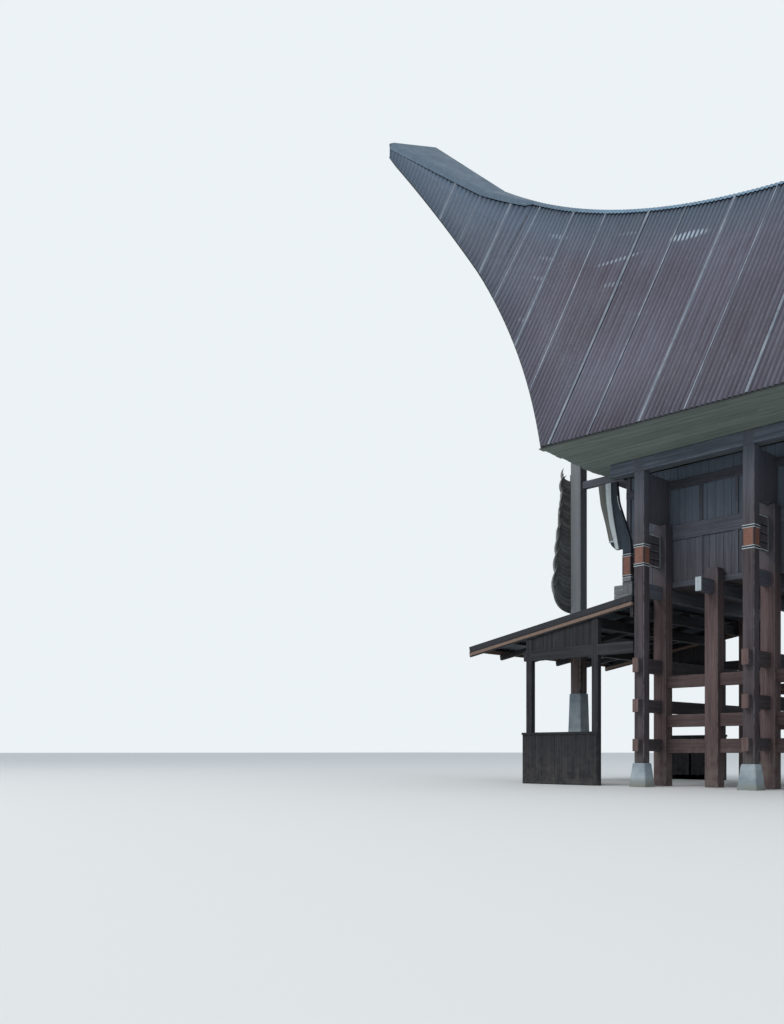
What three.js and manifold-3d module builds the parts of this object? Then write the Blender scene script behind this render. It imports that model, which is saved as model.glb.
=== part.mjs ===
// A tongkonan: a house on posts under a saddle roof whose ridge sweeps up into a prow at each end.
// Units are millimetres. X runs across the house, Y along its ridge with the front at -Y, and Z up.
// The origin is on the ground under the middle of the house.
import * as THREE from 'three';
import { mergeVertices } from 'three/addons/utils/BufferGeometryUtils.js';
import Module from 'manifold-3d';

const GAP = 0.3;
const PAST = 1;
const METRE = 1000;

// Posts, plinths and ties of the outer rows
const BAY = 1700;
const BAYS = 4;
const OUTER_FACE_X = 2090;
const POST = 165;
const PLINTH_HEIGHT = 360;
const PLINTH_FOOT = 285;
const PLINTH_HEAD = 205;
const TIE_WIDTH = 95;
const TIE_REACH = 105;
const TIE_HEIGHTS = [[535, 720], [1120, 1315], [1715, 1930]];
const COLLAR_BOTTOM = 3310;
const COLLAR_TOP = 3640;
const COLLAR_PROUD = 8;

// Inner posts, which carry the floor, and their rails
const INNER_FACE_X = 1510;
const INNER_POST = 210;
const RAIL_THICKNESS = 90;
const RAIL_HEIGHTS = [[510, 720], [905, 1095], [1505, 1690]];
const SHORT_POST_TOP = 3250;
const BRACKET_BOTTOM = 3340;
const BRACKET_TOP = 3840;
const BRACKET_THICKNESS = 60;
const FIN_BOTTOM = 4020;
const FIN_THICKNESS = 60;

// Floor
const FLOOR_BEAM_BOTTOM = 2860;
const FLOOR_BEAM_TOP = 3065;
const FLOOR_BEAM_WIDTH = 95;
const FLOOR_BEAM_REACH_X = 1890;
const FLOOR_THICKNESS = 40;
const FLOOR_LET_IN = 1;
const SILL_INNER_X = 1190;
const SILL_START_Y = 3985;
const SILL_REACH_Y = 4320;
const SILL_BOTTOM = 2985;
const SILL_TOP = 3215;

// Walls
const WALL_FACE_X = 1290;
const WALL_THICKNESS = 50;
const WALL_RAIL_PROUD = 22;
const WALL_RAILS = [[3065, 3150], [3800, 4030], [4590, 4720]];
const END_WALL_FACE_Y = 4130;
const LEDGE_REACH_X = 1350;
const LEDGE_THICKNESS = 30;
const WINDOW_WIDTH = 620;
const WINDOW_BOTTOM = 3900;
const WINDOW_TOP = 4520;

// Plates
const PLATE_BOTTOM = 4740;
const PLATE_TOP = 4930;
const PLATE_HALF_LENGTH = 3910;

// Place along the ridge, height and width of the corner board
const RIB_LINE = [
  [4070, SILL_TOP + GAP, 150], [4070, 3720, 150], [4175, 3830, 340], [4215, 3950, 390],
  [4295, 4230, 360], [4400, 4560, 340], [4445, PLATE_TOP, 350],
];
const RIB_INNER_X = 1290;
const RIB_OUTER_X = 1370;

// Roof
const RIDGE_LOW = 9233;
const RIDGE_SQUARE = 33.1;
const RIDGE_FOURTH = 0.119;
const RIDGE_STRAIGHT_Y = 7700;
const RIDGE_STRAIGHT_RISE = 0.925;
const TIP_Y = 9590;
const CORNER_Y = 4550;
const EAVE_X = 3000;
const EAVE_Z = 5100;
const EAVE_RISE = 80;
const EDGE_STEEP = 1.712;
const EDGE_EASE = 0.0495;
const MOUTH_HALF_WIDTH = 1380;
const MOUTH_FLARE_Y = 7200;
const MOUTH_FLARE = 0.20;
const MOUTH_FLARE_SQUARE = 0.155;
const CAP_HALF_WIDTH = 1330;
const CAP_START_Y = 6900;
const CAP_GROWTH = 0.65;
const CAP_BAND = 120;
const CAP_SLOPE = 20 * Math.PI / 180;
const RIDGE_SPLIT = 1;
const ROOF_THICKNESS = 40;
const EAVE_STEPS = 11;
const PROW_STEPS = 14;
const RIDGE_CAP_THICKNESS = 10;
const SOFFIT_THICKNESS = 25;
const SOFFIT_SET_BACK = 270;
const BAND_WIDTH = 1000;
const BAND_TURN = 1.5;
const KNEE_TURN = 3;
const END_CAP_THICKNESS = 45;
const END_CAP_DEPTH = 300;
const END_CAP_DROP = 6;
const RIDGE_BEAM_WIDTH = 110;
const RIDGE_BEAM_HEIGHT = 170;
const RIDGE_BEAM_END = 9300;
const GABLE_FACE_Y = 4400;
const GABLE_THICKNESS = 45;
const GABLE_HALF_WIDTH = 1230;
const GABLE_CLEARANCE = 4;

// Ridge poles that stand free before each gable, and the horns on the front one
const POLE_Y = 5950;
const POLE = 220;
const POLE_PLINTH_TOP = 1600;
const POLE_PLINTH_FOOT = 330;
const POLE_PLINTH_HEAD = 250;
const POLE_BEAM_BOTTOM = 5350;
const POLE_BEAM_TOP = 5480;
const POLE_BEAM_WIDTH = 110;
const HORN_BOTTOM = 3150;
const HORN_TOP = 5500;
const HORN_PAIRS = 18;
const HORN_BACKING = 110;
const HORN_BACKING_THICKNESS = 50;
const HORN_BACKING_BOTTOM = 3050;
const HORN_BACKING_TOP = 5660;
const HORN_SPREAD_BOTTOM = 500;
const HORN_SPREAD_TOP = 260;
const HORN_RADIUS = 50;
const HORN_TURN = 0.62 * Math.PI;
const HORN_LIFT = 0.8;
const HORN_BOW = 60;
const HORN_TAPER = 0.86;
const HORN_ROOT_X = 10;
const HORN_STANDOFF = 8;
const HORN_STEPS = 6;
const HORN_SIDES = 6;

// Porch at the front
const PORCH_POST = 110;
const PORCH_POSTS_Y = [4190, 5480];
const PORCH_EDGE_X = 2125;
const PORCH_BACK_Y = (BAY * BAYS + INNER_POST) / 2;
const PORCH_FRONT_Y = 6760;
const PORCH_ROOF_BACK_Z = 2900;
const PORCH_ROOF_FRONT_Z = 2365;
const PORCH_ROOF_THICKNESS = 90;
const PORCH_POLE_CLEARANCE = 5;
const PORCH_BEAM_BOTTOM = 2030;
const PORCH_BEAM_TOP = 2200;
const PORCH_BEAM_WIDTH = 100;
const PORCH_CROSS_BEAM_DEPTH = 160;
const PORCH_RAFTER_WIDTH = 60;
const PORCH_RAFTER_DEPTH = 90;
const PORCH_RAFTERS_X = [-2095, -1260, -420, 420, 1260, 2095];
const PORCH_WALL_HEIGHT = 845;
const PORCH_WALL_THICKNESS = 25;
const PORCH_WALL_RAIL = 40;
const PORCH_RAIL_REACH = 10;
const PORCH_POST_DROP = 20;
const PORCH_NOTCH = 10;

const HALF_LENGTH = BAY * BAYS / 2;
const POST_X = OUTER_FACE_X - POST / 2;
const INNER_X = INNER_FACE_X - INNER_POST / 2;
const ROWS = Array.from({ length: BAYS + 1 }, (_, i) => i * BAY - HALF_LENGTH);
const HALF_ROWS = Array.from({ length: BAYS * 2 + 1 }, (_, i) => i * BAY / 2 - HALF_LENGTH);

const wasm = await Module();
wasm.setup();

function toSolid(geometry) {
  const bare = geometry.index ? geometry.toNonIndexed() : geometry.clone();
  bare.deleteAttribute('normal');
  bare.deleteAttribute('uv');
  const merged = mergeVertices(bare, 1e-4);
  return new wasm.Manifold(new wasm.Mesh({
    numProp: 3,
    vertProperties: new Float32Array(merged.attributes.position.array),
    triVerts: new Uint32Array(merged.index.array),
  }));
}

function toGeometry(solid) {
  const mesh = solid.getMesh();
  const geometry = new THREE.BufferGeometry();
  geometry.setAttribute('position', new THREE.BufferAttribute(mesh.vertProperties, 3));
  geometry.setIndex(new THREE.BufferAttribute(mesh.triVerts, 1));
  geometry.computeVertexNormals();
  return geometry;
}

function union(solids) {
  return solids.reduce((sum, solid) => sum.add(solid));
}

// A block between two corners
function block(x0, x1, y0, y1, z0, z1) {
  const geometry = new THREE.BoxGeometry(Math.abs(x1 - x0), Math.abs(y1 - y0), Math.abs(z1 - z0));
  geometry.translate((x0 + x1) / 2, (y0 + y1) / 2, (z0 + z1) / 2);
  return toSolid(geometry);
}

// A closed body between two like rings of points, each ring seen anticlockwise from the second one's side
function loft(rings) {
  const count = rings[0].length;
  const positions = rings.flat().flatMap((p) => [p.x, p.y, p.z]);
  const index = [];
  for (let r = 0; r + 1 < rings.length; r += 1) {
    for (let i = 0; i < count; i += 1) {
      const j = (i + 1) % count;
      const a = r * count + i;
      const b = r * count + j;
      index.push(a, b, b + count, a, b + count, a + count);
    }
  }
  const last = (rings.length - 1) * count;
  for (let i = 1; i + 1 < count; i += 1) {
    index.push(0, i + 1, i);
    index.push(last, last + i, last + i + 1);
  }
  const geometry = new THREE.BufferGeometry();
  geometry.setAttribute('position', new THREE.Float32BufferAttribute(positions, 3));
  geometry.setIndex(index);
  return toSolid(geometry);
}

// A closed shell between an upper and a lower grid of points with the same rows and columns
function shell(upper, lower) {
  const rows = upper.length;
  const columns = upper[0].length;
  const last = columns - 1;
  const positions = [...upper.flat(), ...lower.flat()].flatMap((p) => [p.x, p.y, p.z]);
  const at = (side, r, c) => side * rows * columns + r * columns + c;
  const index = [];
  const quad = (a, b, c, d) => index.push(a, b, c, a, c, d);
  for (let r = 0; r + 1 < rows; r += 1) {
    for (let c = 0; c + 1 < columns; c += 1) {
      quad(at(0, r, c), at(0, r, c + 1), at(0, r + 1, c + 1), at(0, r + 1, c));
      quad(at(1, r, c), at(1, r + 1, c), at(1, r + 1, c + 1), at(1, r, c + 1));
    }
    quad(at(0, r, 0), at(0, r + 1, 0), at(1, r + 1, 0), at(1, r, 0));
    quad(at(0, r + 1, last), at(0, r, last), at(1, r, last), at(1, r + 1, last));
  }
  for (let c = 0; c + 1 < columns; c += 1) {
    quad(at(0, 0, c + 1), at(0, 0, c), at(1, 0, c), at(1, 0, c + 1));
    quad(at(0, rows - 1, c), at(0, rows - 1, c + 1), at(1, rows - 1, c + 1), at(1, rows - 1, c));
  }
  const geometry = new THREE.BufferGeometry();
  geometry.setAttribute('position', new THREE.Float32BufferAttribute(positions, 3));
  geometry.setIndex(index);
  return toSolid(geometry);
}

// An outline in the Y-Z plane carried from x0 to x1
function plankYZ(points, x0, x1) {
  const shape = new THREE.Shape(points.map(([y, z]) => new THREE.Vector2(y, z)));
  const geometry = new THREE.ExtrudeGeometry(shape, { depth: x1 - x0, bevelEnabled: false, steps: 1 });
  geometry.rotateY(Math.PI / 2);
  geometry.rotateX(Math.PI / 2);
  geometry.translate(x0, 0, 0);
  return toSolid(geometry);
}

// An outline in the X-Z plane carried from y0 to y1
function plankXZ(points, y0, y1) {
  const shape = new THREE.Shape(points.map(([x, z]) => new THREE.Vector2(x, z)));
  const geometry = new THREE.ExtrudeGeometry(shape, { depth: y1 - y0, bevelEnabled: false, steps: 1 });
  geometry.rotateX(Math.PI / 2);
  geometry.translate(0, y1, 0);
  return toSolid(geometry);
}

// A square frustum on the ground
function taperedPlinth(x, y, foot, head, height) {
  const ring = (size, z) => [[-1, -1], [1, -1], [1, 1], [-1, 1]]
    .map(([i, j]) => new THREE.Vector3(x + i * size / 2, y + j * size / 2, z));
  return loft([ring(foot, 0), ring(head, height)]);
}

const mirrorX = (solid) => solid.mirror([1, 0, 0]);
const mirrorY = (solid) => solid.mirror([0, 1, 0]);

// Roof lines by distance along the ridge
function ridgeZ(y) {
  const u = Math.min(Math.abs(y), RIDGE_STRAIGHT_Y) / METRE;
  const curve = RIDGE_LOW + RIDGE_SQUARE * u ** 2 + RIDGE_FOURTH * u ** 4;
  return curve + RIDGE_STRAIGHT_RISE * Math.max(0, Math.abs(y) - RIDGE_STRAIGHT_Y);
}

function capX(y) {
  const along = THREE.MathUtils.clamp((Math.abs(y) - CAP_START_Y) / (TIP_Y - CAP_START_Y), 0, 1);
  return CAP_BAND + (CAP_HALF_WIDTH - CAP_BAND) * along ** CAP_GROWTH;
}

function edgeX(y) {
  const u = Math.abs(y);
  if (u <= CORNER_Y) return EAVE_X;
  const flare = Math.max(0, MOUTH_FLARE_Y - u) / METRE;
  const spread = MOUTH_FLARE * flare + MOUTH_FLARE_SQUARE * flare ** 2;
  return Math.min(EAVE_X, MOUTH_HALF_WIDTH + METRE * spread);
}

function edgeZ(y) {
  const u = Math.abs(y);
  if (u <= CORNER_Y) return EAVE_Z + EAVE_RISE * (u / CORNER_Y) ** 2;
  const w = (u - CORNER_Y) / METRE;
  return EAVE_Z + EAVE_RISE + METRE * (EDGE_STEEP * w - EDGE_EASE * w ** 2);
}

// Stations along the roof, with one at each face of a gable
function stations() {
  const half = [GABLE_FACE_Y - GABLE_THICKNESS, GABLE_FACE_Y];
  for (let i = 0; i <= EAVE_STEPS; i += 1) half.push(CORNER_Y * i / EAVE_STEPS);
  for (let i = 1; i <= PROW_STEPS; i += 1) half.push(CORNER_Y + (TIP_Y - CORNER_Y) * i / PROW_STEPS);
  half.sort((a, b) => a - b);
  return [...half.slice(1).reverse().map((y) => -y), ...half];
}

// The roof's line at one station, from the ridge over the shoulder to the edge, moved in by depth
function roofLine(y, depth) {
  const shoulderX = capX(y);
  const shoulderZ = ridgeZ(y) - shoulderX * Math.tan(CAP_SLOPE);
  const pitch = Math.atan2(shoulderZ - edgeZ(y), edgeX(y) - shoulderX);
  const half = (pitch - CAP_SLOPE) / 2;
  const bisector = (pitch + CAP_SLOPE) / 2;
  const miter = depth / Math.cos(half);
  const drop = RIDGE_SPLIT * Math.tan(CAP_SLOPE) + depth / Math.cos(CAP_SLOPE);
  return [
    new THREE.Vector3(RIDGE_SPLIT, y, ridgeZ(y) - drop),
    new THREE.Vector3(shoulderX - miter * Math.sin(bisector), y, shoulderZ - miter * Math.cos(bisector)),
    new THREE.Vector3(edgeX(y) - depth * Math.sin(pitch), y, edgeZ(y) - depth * Math.cos(pitch)),
  ];
}

function roofSlope() {
  const along = stations();
  return shell(
    along.map((y) => roofLine(y, 0)),
    along.map((y) => roofLine(y, ROOF_THICKNESS)),
  );
}

function ridgeCap() {
  const along = stations();
  const lift = RIDGE_CAP_THICKNESS / Math.cos(CAP_SLOPE);
  const drop = CAP_BAND * Math.tan(CAP_SLOPE);
  const line = (y, rise) => [
    new THREE.Vector3(-CAP_BAND, y, ridgeZ(y) - drop + rise),
    new THREE.Vector3(0, y, ridgeZ(y) + rise),
    new THREE.Vector3(CAP_BAND, y, ridgeZ(y) - drop + rise),
  ].reverse();
  return shell(along.map((y) => line(y, lift)).reverse(), along.map((y) => line(y, GAP)).reverse());
}

// The boarding under the eaves, which turns up along the mouth of each prow: its line from the wall
// over the plate to the roof's edge at one station
function soffitLine(y) {
  const edge = roofLine(y, ROOF_THICKNESS)[2];
  const u = Math.abs(y);
  const turn = THREE.MathUtils.smoothstep(u, CORNER_Y, MOUTH_FLARE_Y);
  const draw = THREE.MathUtils.smoothstep(u, CORNER_Y / 2, CORNER_Y) * (1 - turn);
  const back = Math.sign(y) * draw * SOFFIT_SET_BACK;
  const plateZ = PLATE_TOP + 2 * GAP + SOFFIT_THICKNESS;
  const drop = u <= CORNER_Y ? edge.z - plateZ : (edgeZ(CORNER_Y) - plateZ) * (1 - turn);
  const innerX = THREE.MathUtils.lerp(WALL_FACE_X, edge.x - BAND_WIDTH, Math.min(1, turn * BAND_TURN));
  const kneeX = THREE.MathUtils.lerp(OUTER_FACE_X, (innerX + edge.x) / 2, Math.min(1, turn * KNEE_TURN));
  return [
    new THREE.Vector3(innerX, y - back, edge.z - drop),
    new THREE.Vector3(kneeX, y - back, edge.z - drop),
    edge,
  ];
}

function soffitGrid(drop) {
  const along = stations();
  const lines = along.map(soffitLine);
  return lines.map((line, i) => {
    const before = lines[Math.max(0, i - 1)][2];
    const after = lines[Math.min(lines.length - 1, i + 1)][2];
    const tangent = new THREE.Vector2(after.y - before.y, after.z - before.z).normalize();
    return line.map((p) => new THREE.Vector3(
      p.x,
      THREE.MathUtils.clamp(p.y + tangent.y * drop, -TIP_Y, TIP_Y),
      p.z - tangent.x * drop,
    ));
  });
}

function soffit() {
  return shell(soffitGrid(GAP), soffitGrid(GAP + SOFFIT_THICKNESS));
}

// Row of two outer posts with what passes through or leans on them
function crossFrame(y) {
  const parts = [];
  for (const side of [-1, 1]) {
    const x = side * POST_X;
    const half = POST / 2;
    const collar = half + COLLAR_PROUD;
    parts.push(block(x - half, x + half, y - half, y + half, PLINTH_HEIGHT, PLATE_BOTTOM - GAP));
    parts.push(block(x - collar, x + collar, y - collar, y + collar, COLLAR_BOTTOM, COLLAR_TOP));
    parts.push(block(x, side * (WALL_FACE_X + GAP), y - FIN_THICKNESS / 2, y + FIN_THICKNESS / 2,
      FIN_BOTTOM, PLATE_BOTTOM - GAP));
    parts.push(block(x, side * (INNER_FACE_X + GAP), y - BRACKET_THICKNESS / 2, y + BRACKET_THICKNESS / 2,
      BRACKET_BOTTOM, BRACKET_TOP));
  }
  const reach = OUTER_FACE_X + TIE_REACH;
  for (const [bottom, top] of TIE_HEIGHTS) {
    parts.push(block(-reach, reach, y - TIE_WIDTH / 2, y + TIE_WIDTH / 2, bottom, top));
  }
  return union(parts);
}

// Inner row of posts with its three rails, mortised for the ties and floor beams
function innerFrame(side) {
  const x = side * INNER_X;
  const half = INNER_POST / 2;
  const parts = HALF_ROWS.map((y, i) => block(x - half, x + half, y - half, y + half,
    0, i % 2 === 0 ? FIN_BOTTOM - GAP : SHORT_POST_TOP));
  for (const [bottom, top] of RAIL_HEIGHTS) {
    parts.push(block(x - RAIL_THICKNESS / 2, x + RAIL_THICKNESS / 2,
      -HALF_LENGTH - half, HALF_LENGTH + half, bottom, top));
  }
  const tieHole = TIE_WIDTH / 2 + GAP;
  const holes = ROWS.flatMap((y) => TIE_HEIGHTS.map(([bottom, top]) => block(
    x - half - PAST, x + half + PAST, y - tieHole, y + tieHole, bottom - GAP, top + GAP)));
  const beamHole = FLOOR_BEAM_WIDTH / 2 + GAP;
  holes.push(...HALF_ROWS.map((y) => block(x - half - PAST, x + half + PAST,
    y - beamHole, y + beamHole, FLOOR_BEAM_BOTTOM - GAP, FLOOR_BEAM_TOP + GAP)));
  return union(parts).subtract(union(holes));
}

// Floor boards on the beams that pass through the inner posts
function floor() {
  const parts = HALF_ROWS.map((y) => block(-FLOOR_BEAM_REACH_X, FLOOR_BEAM_REACH_X,
    y - FLOOR_BEAM_WIDTH / 2, y + FLOOR_BEAM_WIDTH / 2, FLOOR_BEAM_BOTTOM, FLOOR_BEAM_TOP));
  const halfWidth = WALL_FACE_X - WALL_THICKNESS - GAP;
  const halfLength = END_WALL_FACE_Y - WALL_THICKNESS - GAP;
  const boards = FLOOR_BEAM_TOP + FLOOR_THICKNESS;
  parts.push(block(-halfWidth, halfWidth, -halfLength, halfLength, FLOOR_BEAM_TOP - FLOOR_LET_IN, boards));
  for (const i of [-1, 1]) {
    for (const j of [-1, 1]) {
      const sill = (x, y0, y1, z0, z1) => block(i * x, i * LEDGE_REACH_X, j * y0, j * y1, z0, z1);
      const front = END_WALL_FACE_Y + GAP;
      parts.push(sill(SILL_INNER_X, SILL_START_Y, SILL_REACH_Y, SILL_BOTTOM, FLOOR_BEAM_TOP));
      parts.push(sill(SILL_INNER_X, front, SILL_REACH_Y, FLOOR_BEAM_TOP - PAST, SILL_TOP));
      parts.push(sill(WALL_FACE_X + GAP, SILL_START_Y, SILL_REACH_Y, FLOOR_BEAM_TOP - PAST, SILL_TOP));
    }
  }
  return union(parts);
}

// Long wall of boards between rails
function sideWall(side) {
  const inner = side * (WALL_FACE_X - WALL_THICKNESS);
  const boards = side * (WALL_FACE_X - WALL_RAIL_PROUD);
  const bottom = FLOOR_BEAM_TOP + GAP;
  const parts = [block(inner, boards, -END_WALL_FACE_Y, END_WALL_FACE_Y, bottom, PLATE_TOP)];
  for (const [z0, z1] of WALL_RAILS) {
    parts.push(block(inner, side * WALL_FACE_X, -END_WALL_FACE_Y, END_WALL_FACE_Y,
      Math.max(z0, bottom), z1));
  }
  return union(parts);
}

// End wall with a window, a ledge that carries the gable, and a curved board up each corner
function endWall() {
  const bottom = FLOOR_BEAM_TOP + FLOOR_THICKNESS + GAP;
  const reach = WALL_FACE_X - WALL_THICKNESS - GAP;
  const face = -END_WALL_FACE_Y;
  const slab = block(-reach, reach, face, face + WALL_THICKNESS, bottom, PLATE_TOP);
  const window = block(-WINDOW_WIDTH / 2, WINDOW_WIDTH / 2, face - PAST, face + WALL_THICKNESS + PAST,
    WINDOW_BOTTOM, WINDOW_TOP);
  const rib = cornerRib();
  return union([
    slab.subtract(window),
    block(-reach, reach, -GABLE_FACE_Y, face + PAST, PLATE_TOP - LEDGE_THICKNESS, PLATE_TOP),
    block(-LEDGE_REACH_X, LEDGE_REACH_X, -GABLE_FACE_Y, face - GAP,
      PLATE_TOP - LEDGE_THICKNESS, PLATE_TOP),
    rib,
    mirrorX(rib),
  ]);
}

// The corner board: a short foot, a kink, and a long limb that leans out to the eaves
function cornerRib() {
  const front = RIB_LINE.map(([y, z, width]) => [-y - width / 2, z]);
  const back = RIB_LINE.map(([y, z, width]) => [-y + width / 2, z]);
  return plankYZ([...front, ...back.reverse()].reverse(), RIB_INNER_X + GAP, RIB_OUTER_X);
}

// Gable above an end wall, up to the underside of the roof
function gable() {
  const y = -GABLE_FACE_Y;
  const inner = y + GABLE_THICKNESS;
  const line = roofLine(inner, ROOF_THICKNESS + GABLE_CLEARANCE);
  const underRoof = (x) => THREE.MathUtils.mapLinear(x, line[1].x, line[2].x, line[1].z, line[2].z);
  const side = [
    [GABLE_HALF_WIDTH, PLATE_TOP + GAP],
    [GABLE_HALF_WIDTH, underRoof(GABLE_HALF_WIDTH)],
    [line[1].x, line[1].z],
  ];
  const outline = [
    ...side,
    [0, line[0].z],
    ...side.map(([x, z]) => [-x, z]).reverse(),
  ];
  const clearBeam = RIDGE_BEAM_WIDTH / 2 + GAP;
  const beam = block(-clearBeam, clearBeam, y - PAST, inner + PAST,
    ridgeBeamBottom(inner) - GAP, ridgeZ(y));
  return plankXZ(outline, y, inner).subtract(beam);
}

// Beam under the ridge, curved with it
function ridgeBeam() {
  const half = RIDGE_BEAM_WIDTH / 2;
  const under = ROOF_THICKNESS / Math.cos(CAP_SLOPE) + half * Math.tan(CAP_SLOPE) + GAP;
  const rings = stations().filter((y) => Math.abs(y) < RIDGE_BEAM_END).map((y) => {
    const top = ridgeZ(y) - under;
    return [[-half, top - RIDGE_BEAM_HEIGHT], [-half, top], [half, top], [half, top - RIDGE_BEAM_HEIGHT]]
      .map(([x, z]) => new THREE.Vector3(x, y, z));
  });
  return loft(rings);
}

function ridgeBeamBottom(y) {
  return ridgeZ(y) - ROOF_THICKNESS / Math.cos(CAP_SLOPE)
    - RIDGE_BEAM_WIDTH / 2 * Math.tan(CAP_SLOPE) - GAP - RIDGE_BEAM_HEIGHT;
}

// Shallow chevron that closes the mouth's top
function endCap() {
  const rise = CAP_HALF_WIDTH * Math.tan(CAP_SLOPE);
  const top = ridgeZ(TIP_Y) - END_CAP_DROP;
  const outline = [
    [-CAP_HALF_WIDTH, top - rise], [-CAP_HALF_WIDTH, top - rise - END_CAP_DEPTH],
    [0, top - END_CAP_DEPTH], [CAP_HALF_WIDTH, top - rise - END_CAP_DEPTH],
    [CAP_HALF_WIDTH, top - rise], [0, top],
  ];
  return plankXZ(outline, -TIP_Y - GAP - END_CAP_THICKNESS, -TIP_Y - GAP);
}

function pole() {
  const half = POLE / 2;
  const top = ridgeBeamBottom(POLE_Y - half) - GAP;
  return block(-half, half, -POLE_Y - half, -POLE_Y + half, POLE_PLINTH_TOP + GAP, top);
}

// Beam from the pole back to the gable
function poleBeam() {
  const half = POLE_BEAM_WIDTH / 2;
  return block(-half, half, -POLE_Y + POLE / 2 + GAP, -GABLE_FACE_Y - GAP,
    POLE_BEAM_BOTTOM, POLE_BEAM_TOP);
}

// One horn: round rings along an arc that runs out to the side and turns up to a point
function horn(side, z, spread, root) {
  const rings = [];
  for (let i = 0; i <= HORN_STEPS; i += 1) {
    const t = i / HORN_STEPS;
    const angle = t * HORN_TURN;
    const centre = new THREE.Vector3(
      side * (HORN_ROOT_X + spread * Math.sin(angle)),
      root - HORN_BOW * Math.sin(t * Math.PI),
      z + spread * HORN_LIFT * (1 - Math.cos(angle)),
    );
    const out = new THREE.Vector3(side * Math.cos(angle), 0, Math.sin(angle));
    const across = new THREE.Vector3(0, 1, 0);
    const up = new THREE.Vector3().crossVectors(across, out).multiplyScalar(side);
    const radius = HORN_RADIUS * (1 - HORN_TAPER * t);
    rings.push(Array.from({ length: HORN_SIDES }, (_, k) => {
      const turn = side * k / HORN_SIDES * Math.PI * 2;
      return centre.clone()
        .addScaledVector(across, radius * Math.cos(turn))
        .addScaledVector(up, radius * Math.sin(turn));
    }));
  }
  return loft(rings.map((ring) => ring.reverse()));
}

// Buffalo horns in pairs, one above another, on a board up the pole's front
function hornStack() {
  const back = -POLE_Y - POLE / 2 - GAP;
  const parts = [block(-HORN_BACKING / 2, HORN_BACKING / 2, back - HORN_BACKING_THICKNESS, back,
    HORN_BACKING_BOTTOM, HORN_BACKING_TOP)];
  for (let i = 0; i < HORN_PAIRS; i += 1) {
    const t = i / (HORN_PAIRS - 1);
    const spread = THREE.MathUtils.lerp(HORN_SPREAD_BOTTOM, HORN_SPREAD_TOP, t);
    for (const side of [-1, 1]) {
      parts.push(horn(side, THREE.MathUtils.lerp(HORN_BOTTOM, HORN_TOP, t), spread,
        back - HORN_BACKING_THICKNESS - HORN_STANDOFF));
    }
  }
  return union(parts);
}

// Height of the porch roof's upper face by distance along the ridge
function porchRoofZ(y) {
  return THREE.MathUtils.mapLinear(y, PORCH_BACK_Y, PORCH_FRONT_Y, PORCH_ROOF_BACK_Z, PORCH_ROOF_FRONT_Z);
}

// A sloping layer of the porch roof, from one depth below its upper face to another
function porchLayer(x0, x1, top, bottom) {
  const back = PORCH_BACK_Y + GAP;
  const front = PORCH_FRONT_Y;
  return plankYZ([
    [-front, porchRoofZ(front) - bottom], [-back, porchRoofZ(back) - bottom],
    [-back, porchRoofZ(back) - top], [-front, porchRoofZ(front) - top],
  ], x0, x1);
}

function porchRoof() {
  const clear = POLE / 2 + PORCH_POLE_CLEARANCE;
  const hole = block(-clear, clear, -POLE_Y - clear, -POLE_Y + clear, POLE_PLINTH_TOP, PORCH_ROOF_BACK_Z);
  return porchLayer(-PORCH_EDGE_X, PORCH_EDGE_X, 0, PORCH_ROOF_THICKNESS).subtract(hole);
}

// Posts, side beams, cross beams, ledger and rafters of the porch
function porchFrame() {
  const x = OUTER_FACE_X - PORCH_POST / 2;
  const half = PORCH_POST / 2;
  const beam = PORCH_BEAM_WIDTH / 2;
  const back = -PORCH_BACK_Y - GAP;
  const rafterBottom = (y) => porchRoofZ(y) - PORCH_ROOF_THICKNESS - GAP - PORCH_RAFTER_DEPTH;
  const parts = [];
  for (const side of [-1, 1]) {
    for (const y of PORCH_POSTS_Y) {
      parts.push(block(side * x - half, side * x + half, -y - half, -y + half,
        0, rafterBottom(y) - PORCH_POST_DROP));
    }
    parts.push(block(side * x - beam, side * x + beam, -PORCH_POSTS_Y[1] - 2 * half, back,
      PORCH_BEAM_BOTTOM, PORCH_BEAM_TOP));
  }
  for (const y of PORCH_POSTS_Y) {
    const top = rafterBottom(y) + PORCH_NOTCH;
    parts.push(block(-x - half, x + half, -y - beam, -y + beam, top - PORCH_CROSS_BEAM_DEPTH, top));
  }
  const ledgerTop = rafterBottom(PORCH_BACK_Y + beam) + PORCH_NOTCH;
  parts.push(block(-OUTER_FACE_X, OUTER_FACE_X, back - beam, back,
    ledgerTop - PORCH_CROSS_BEAM_DEPTH, ledgerTop));
  for (const rafterX of PORCH_RAFTERS_X) {
    parts.push(porchLayer(rafterX - PORCH_RAFTER_WIDTH / 2, rafterX + PORCH_RAFTER_WIDTH / 2,
      PORCH_ROOF_THICKNESS + GAP, PORCH_ROOF_THICKNESS + GAP + PORCH_RAFTER_DEPTH));
  }
  return union(parts);
}

// Low board wall on the outer faces of two porch posts, with a rail on top
function porchWall() {
  const x = OUTER_FACE_X + GAP;
  const reach = PORCH_POST / 2;
  const ends = [-PORCH_POSTS_Y[1] - PORCH_POST, -PORCH_POSTS_Y[0] + reach];
  return union([
    block(x, x + PORCH_WALL_THICKNESS, ends[0], ends[1], 0, PORCH_WALL_HEIGHT),
    block(x, x + PORCH_WALL_RAIL, ends[0] - PORCH_RAIL_REACH, ends[1] + PORCH_RAIL_REACH,
      PORCH_WALL_HEIGHT - PORCH_WALL_RAIL, PORCH_WALL_HEIGHT),
  ]);
}

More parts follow.
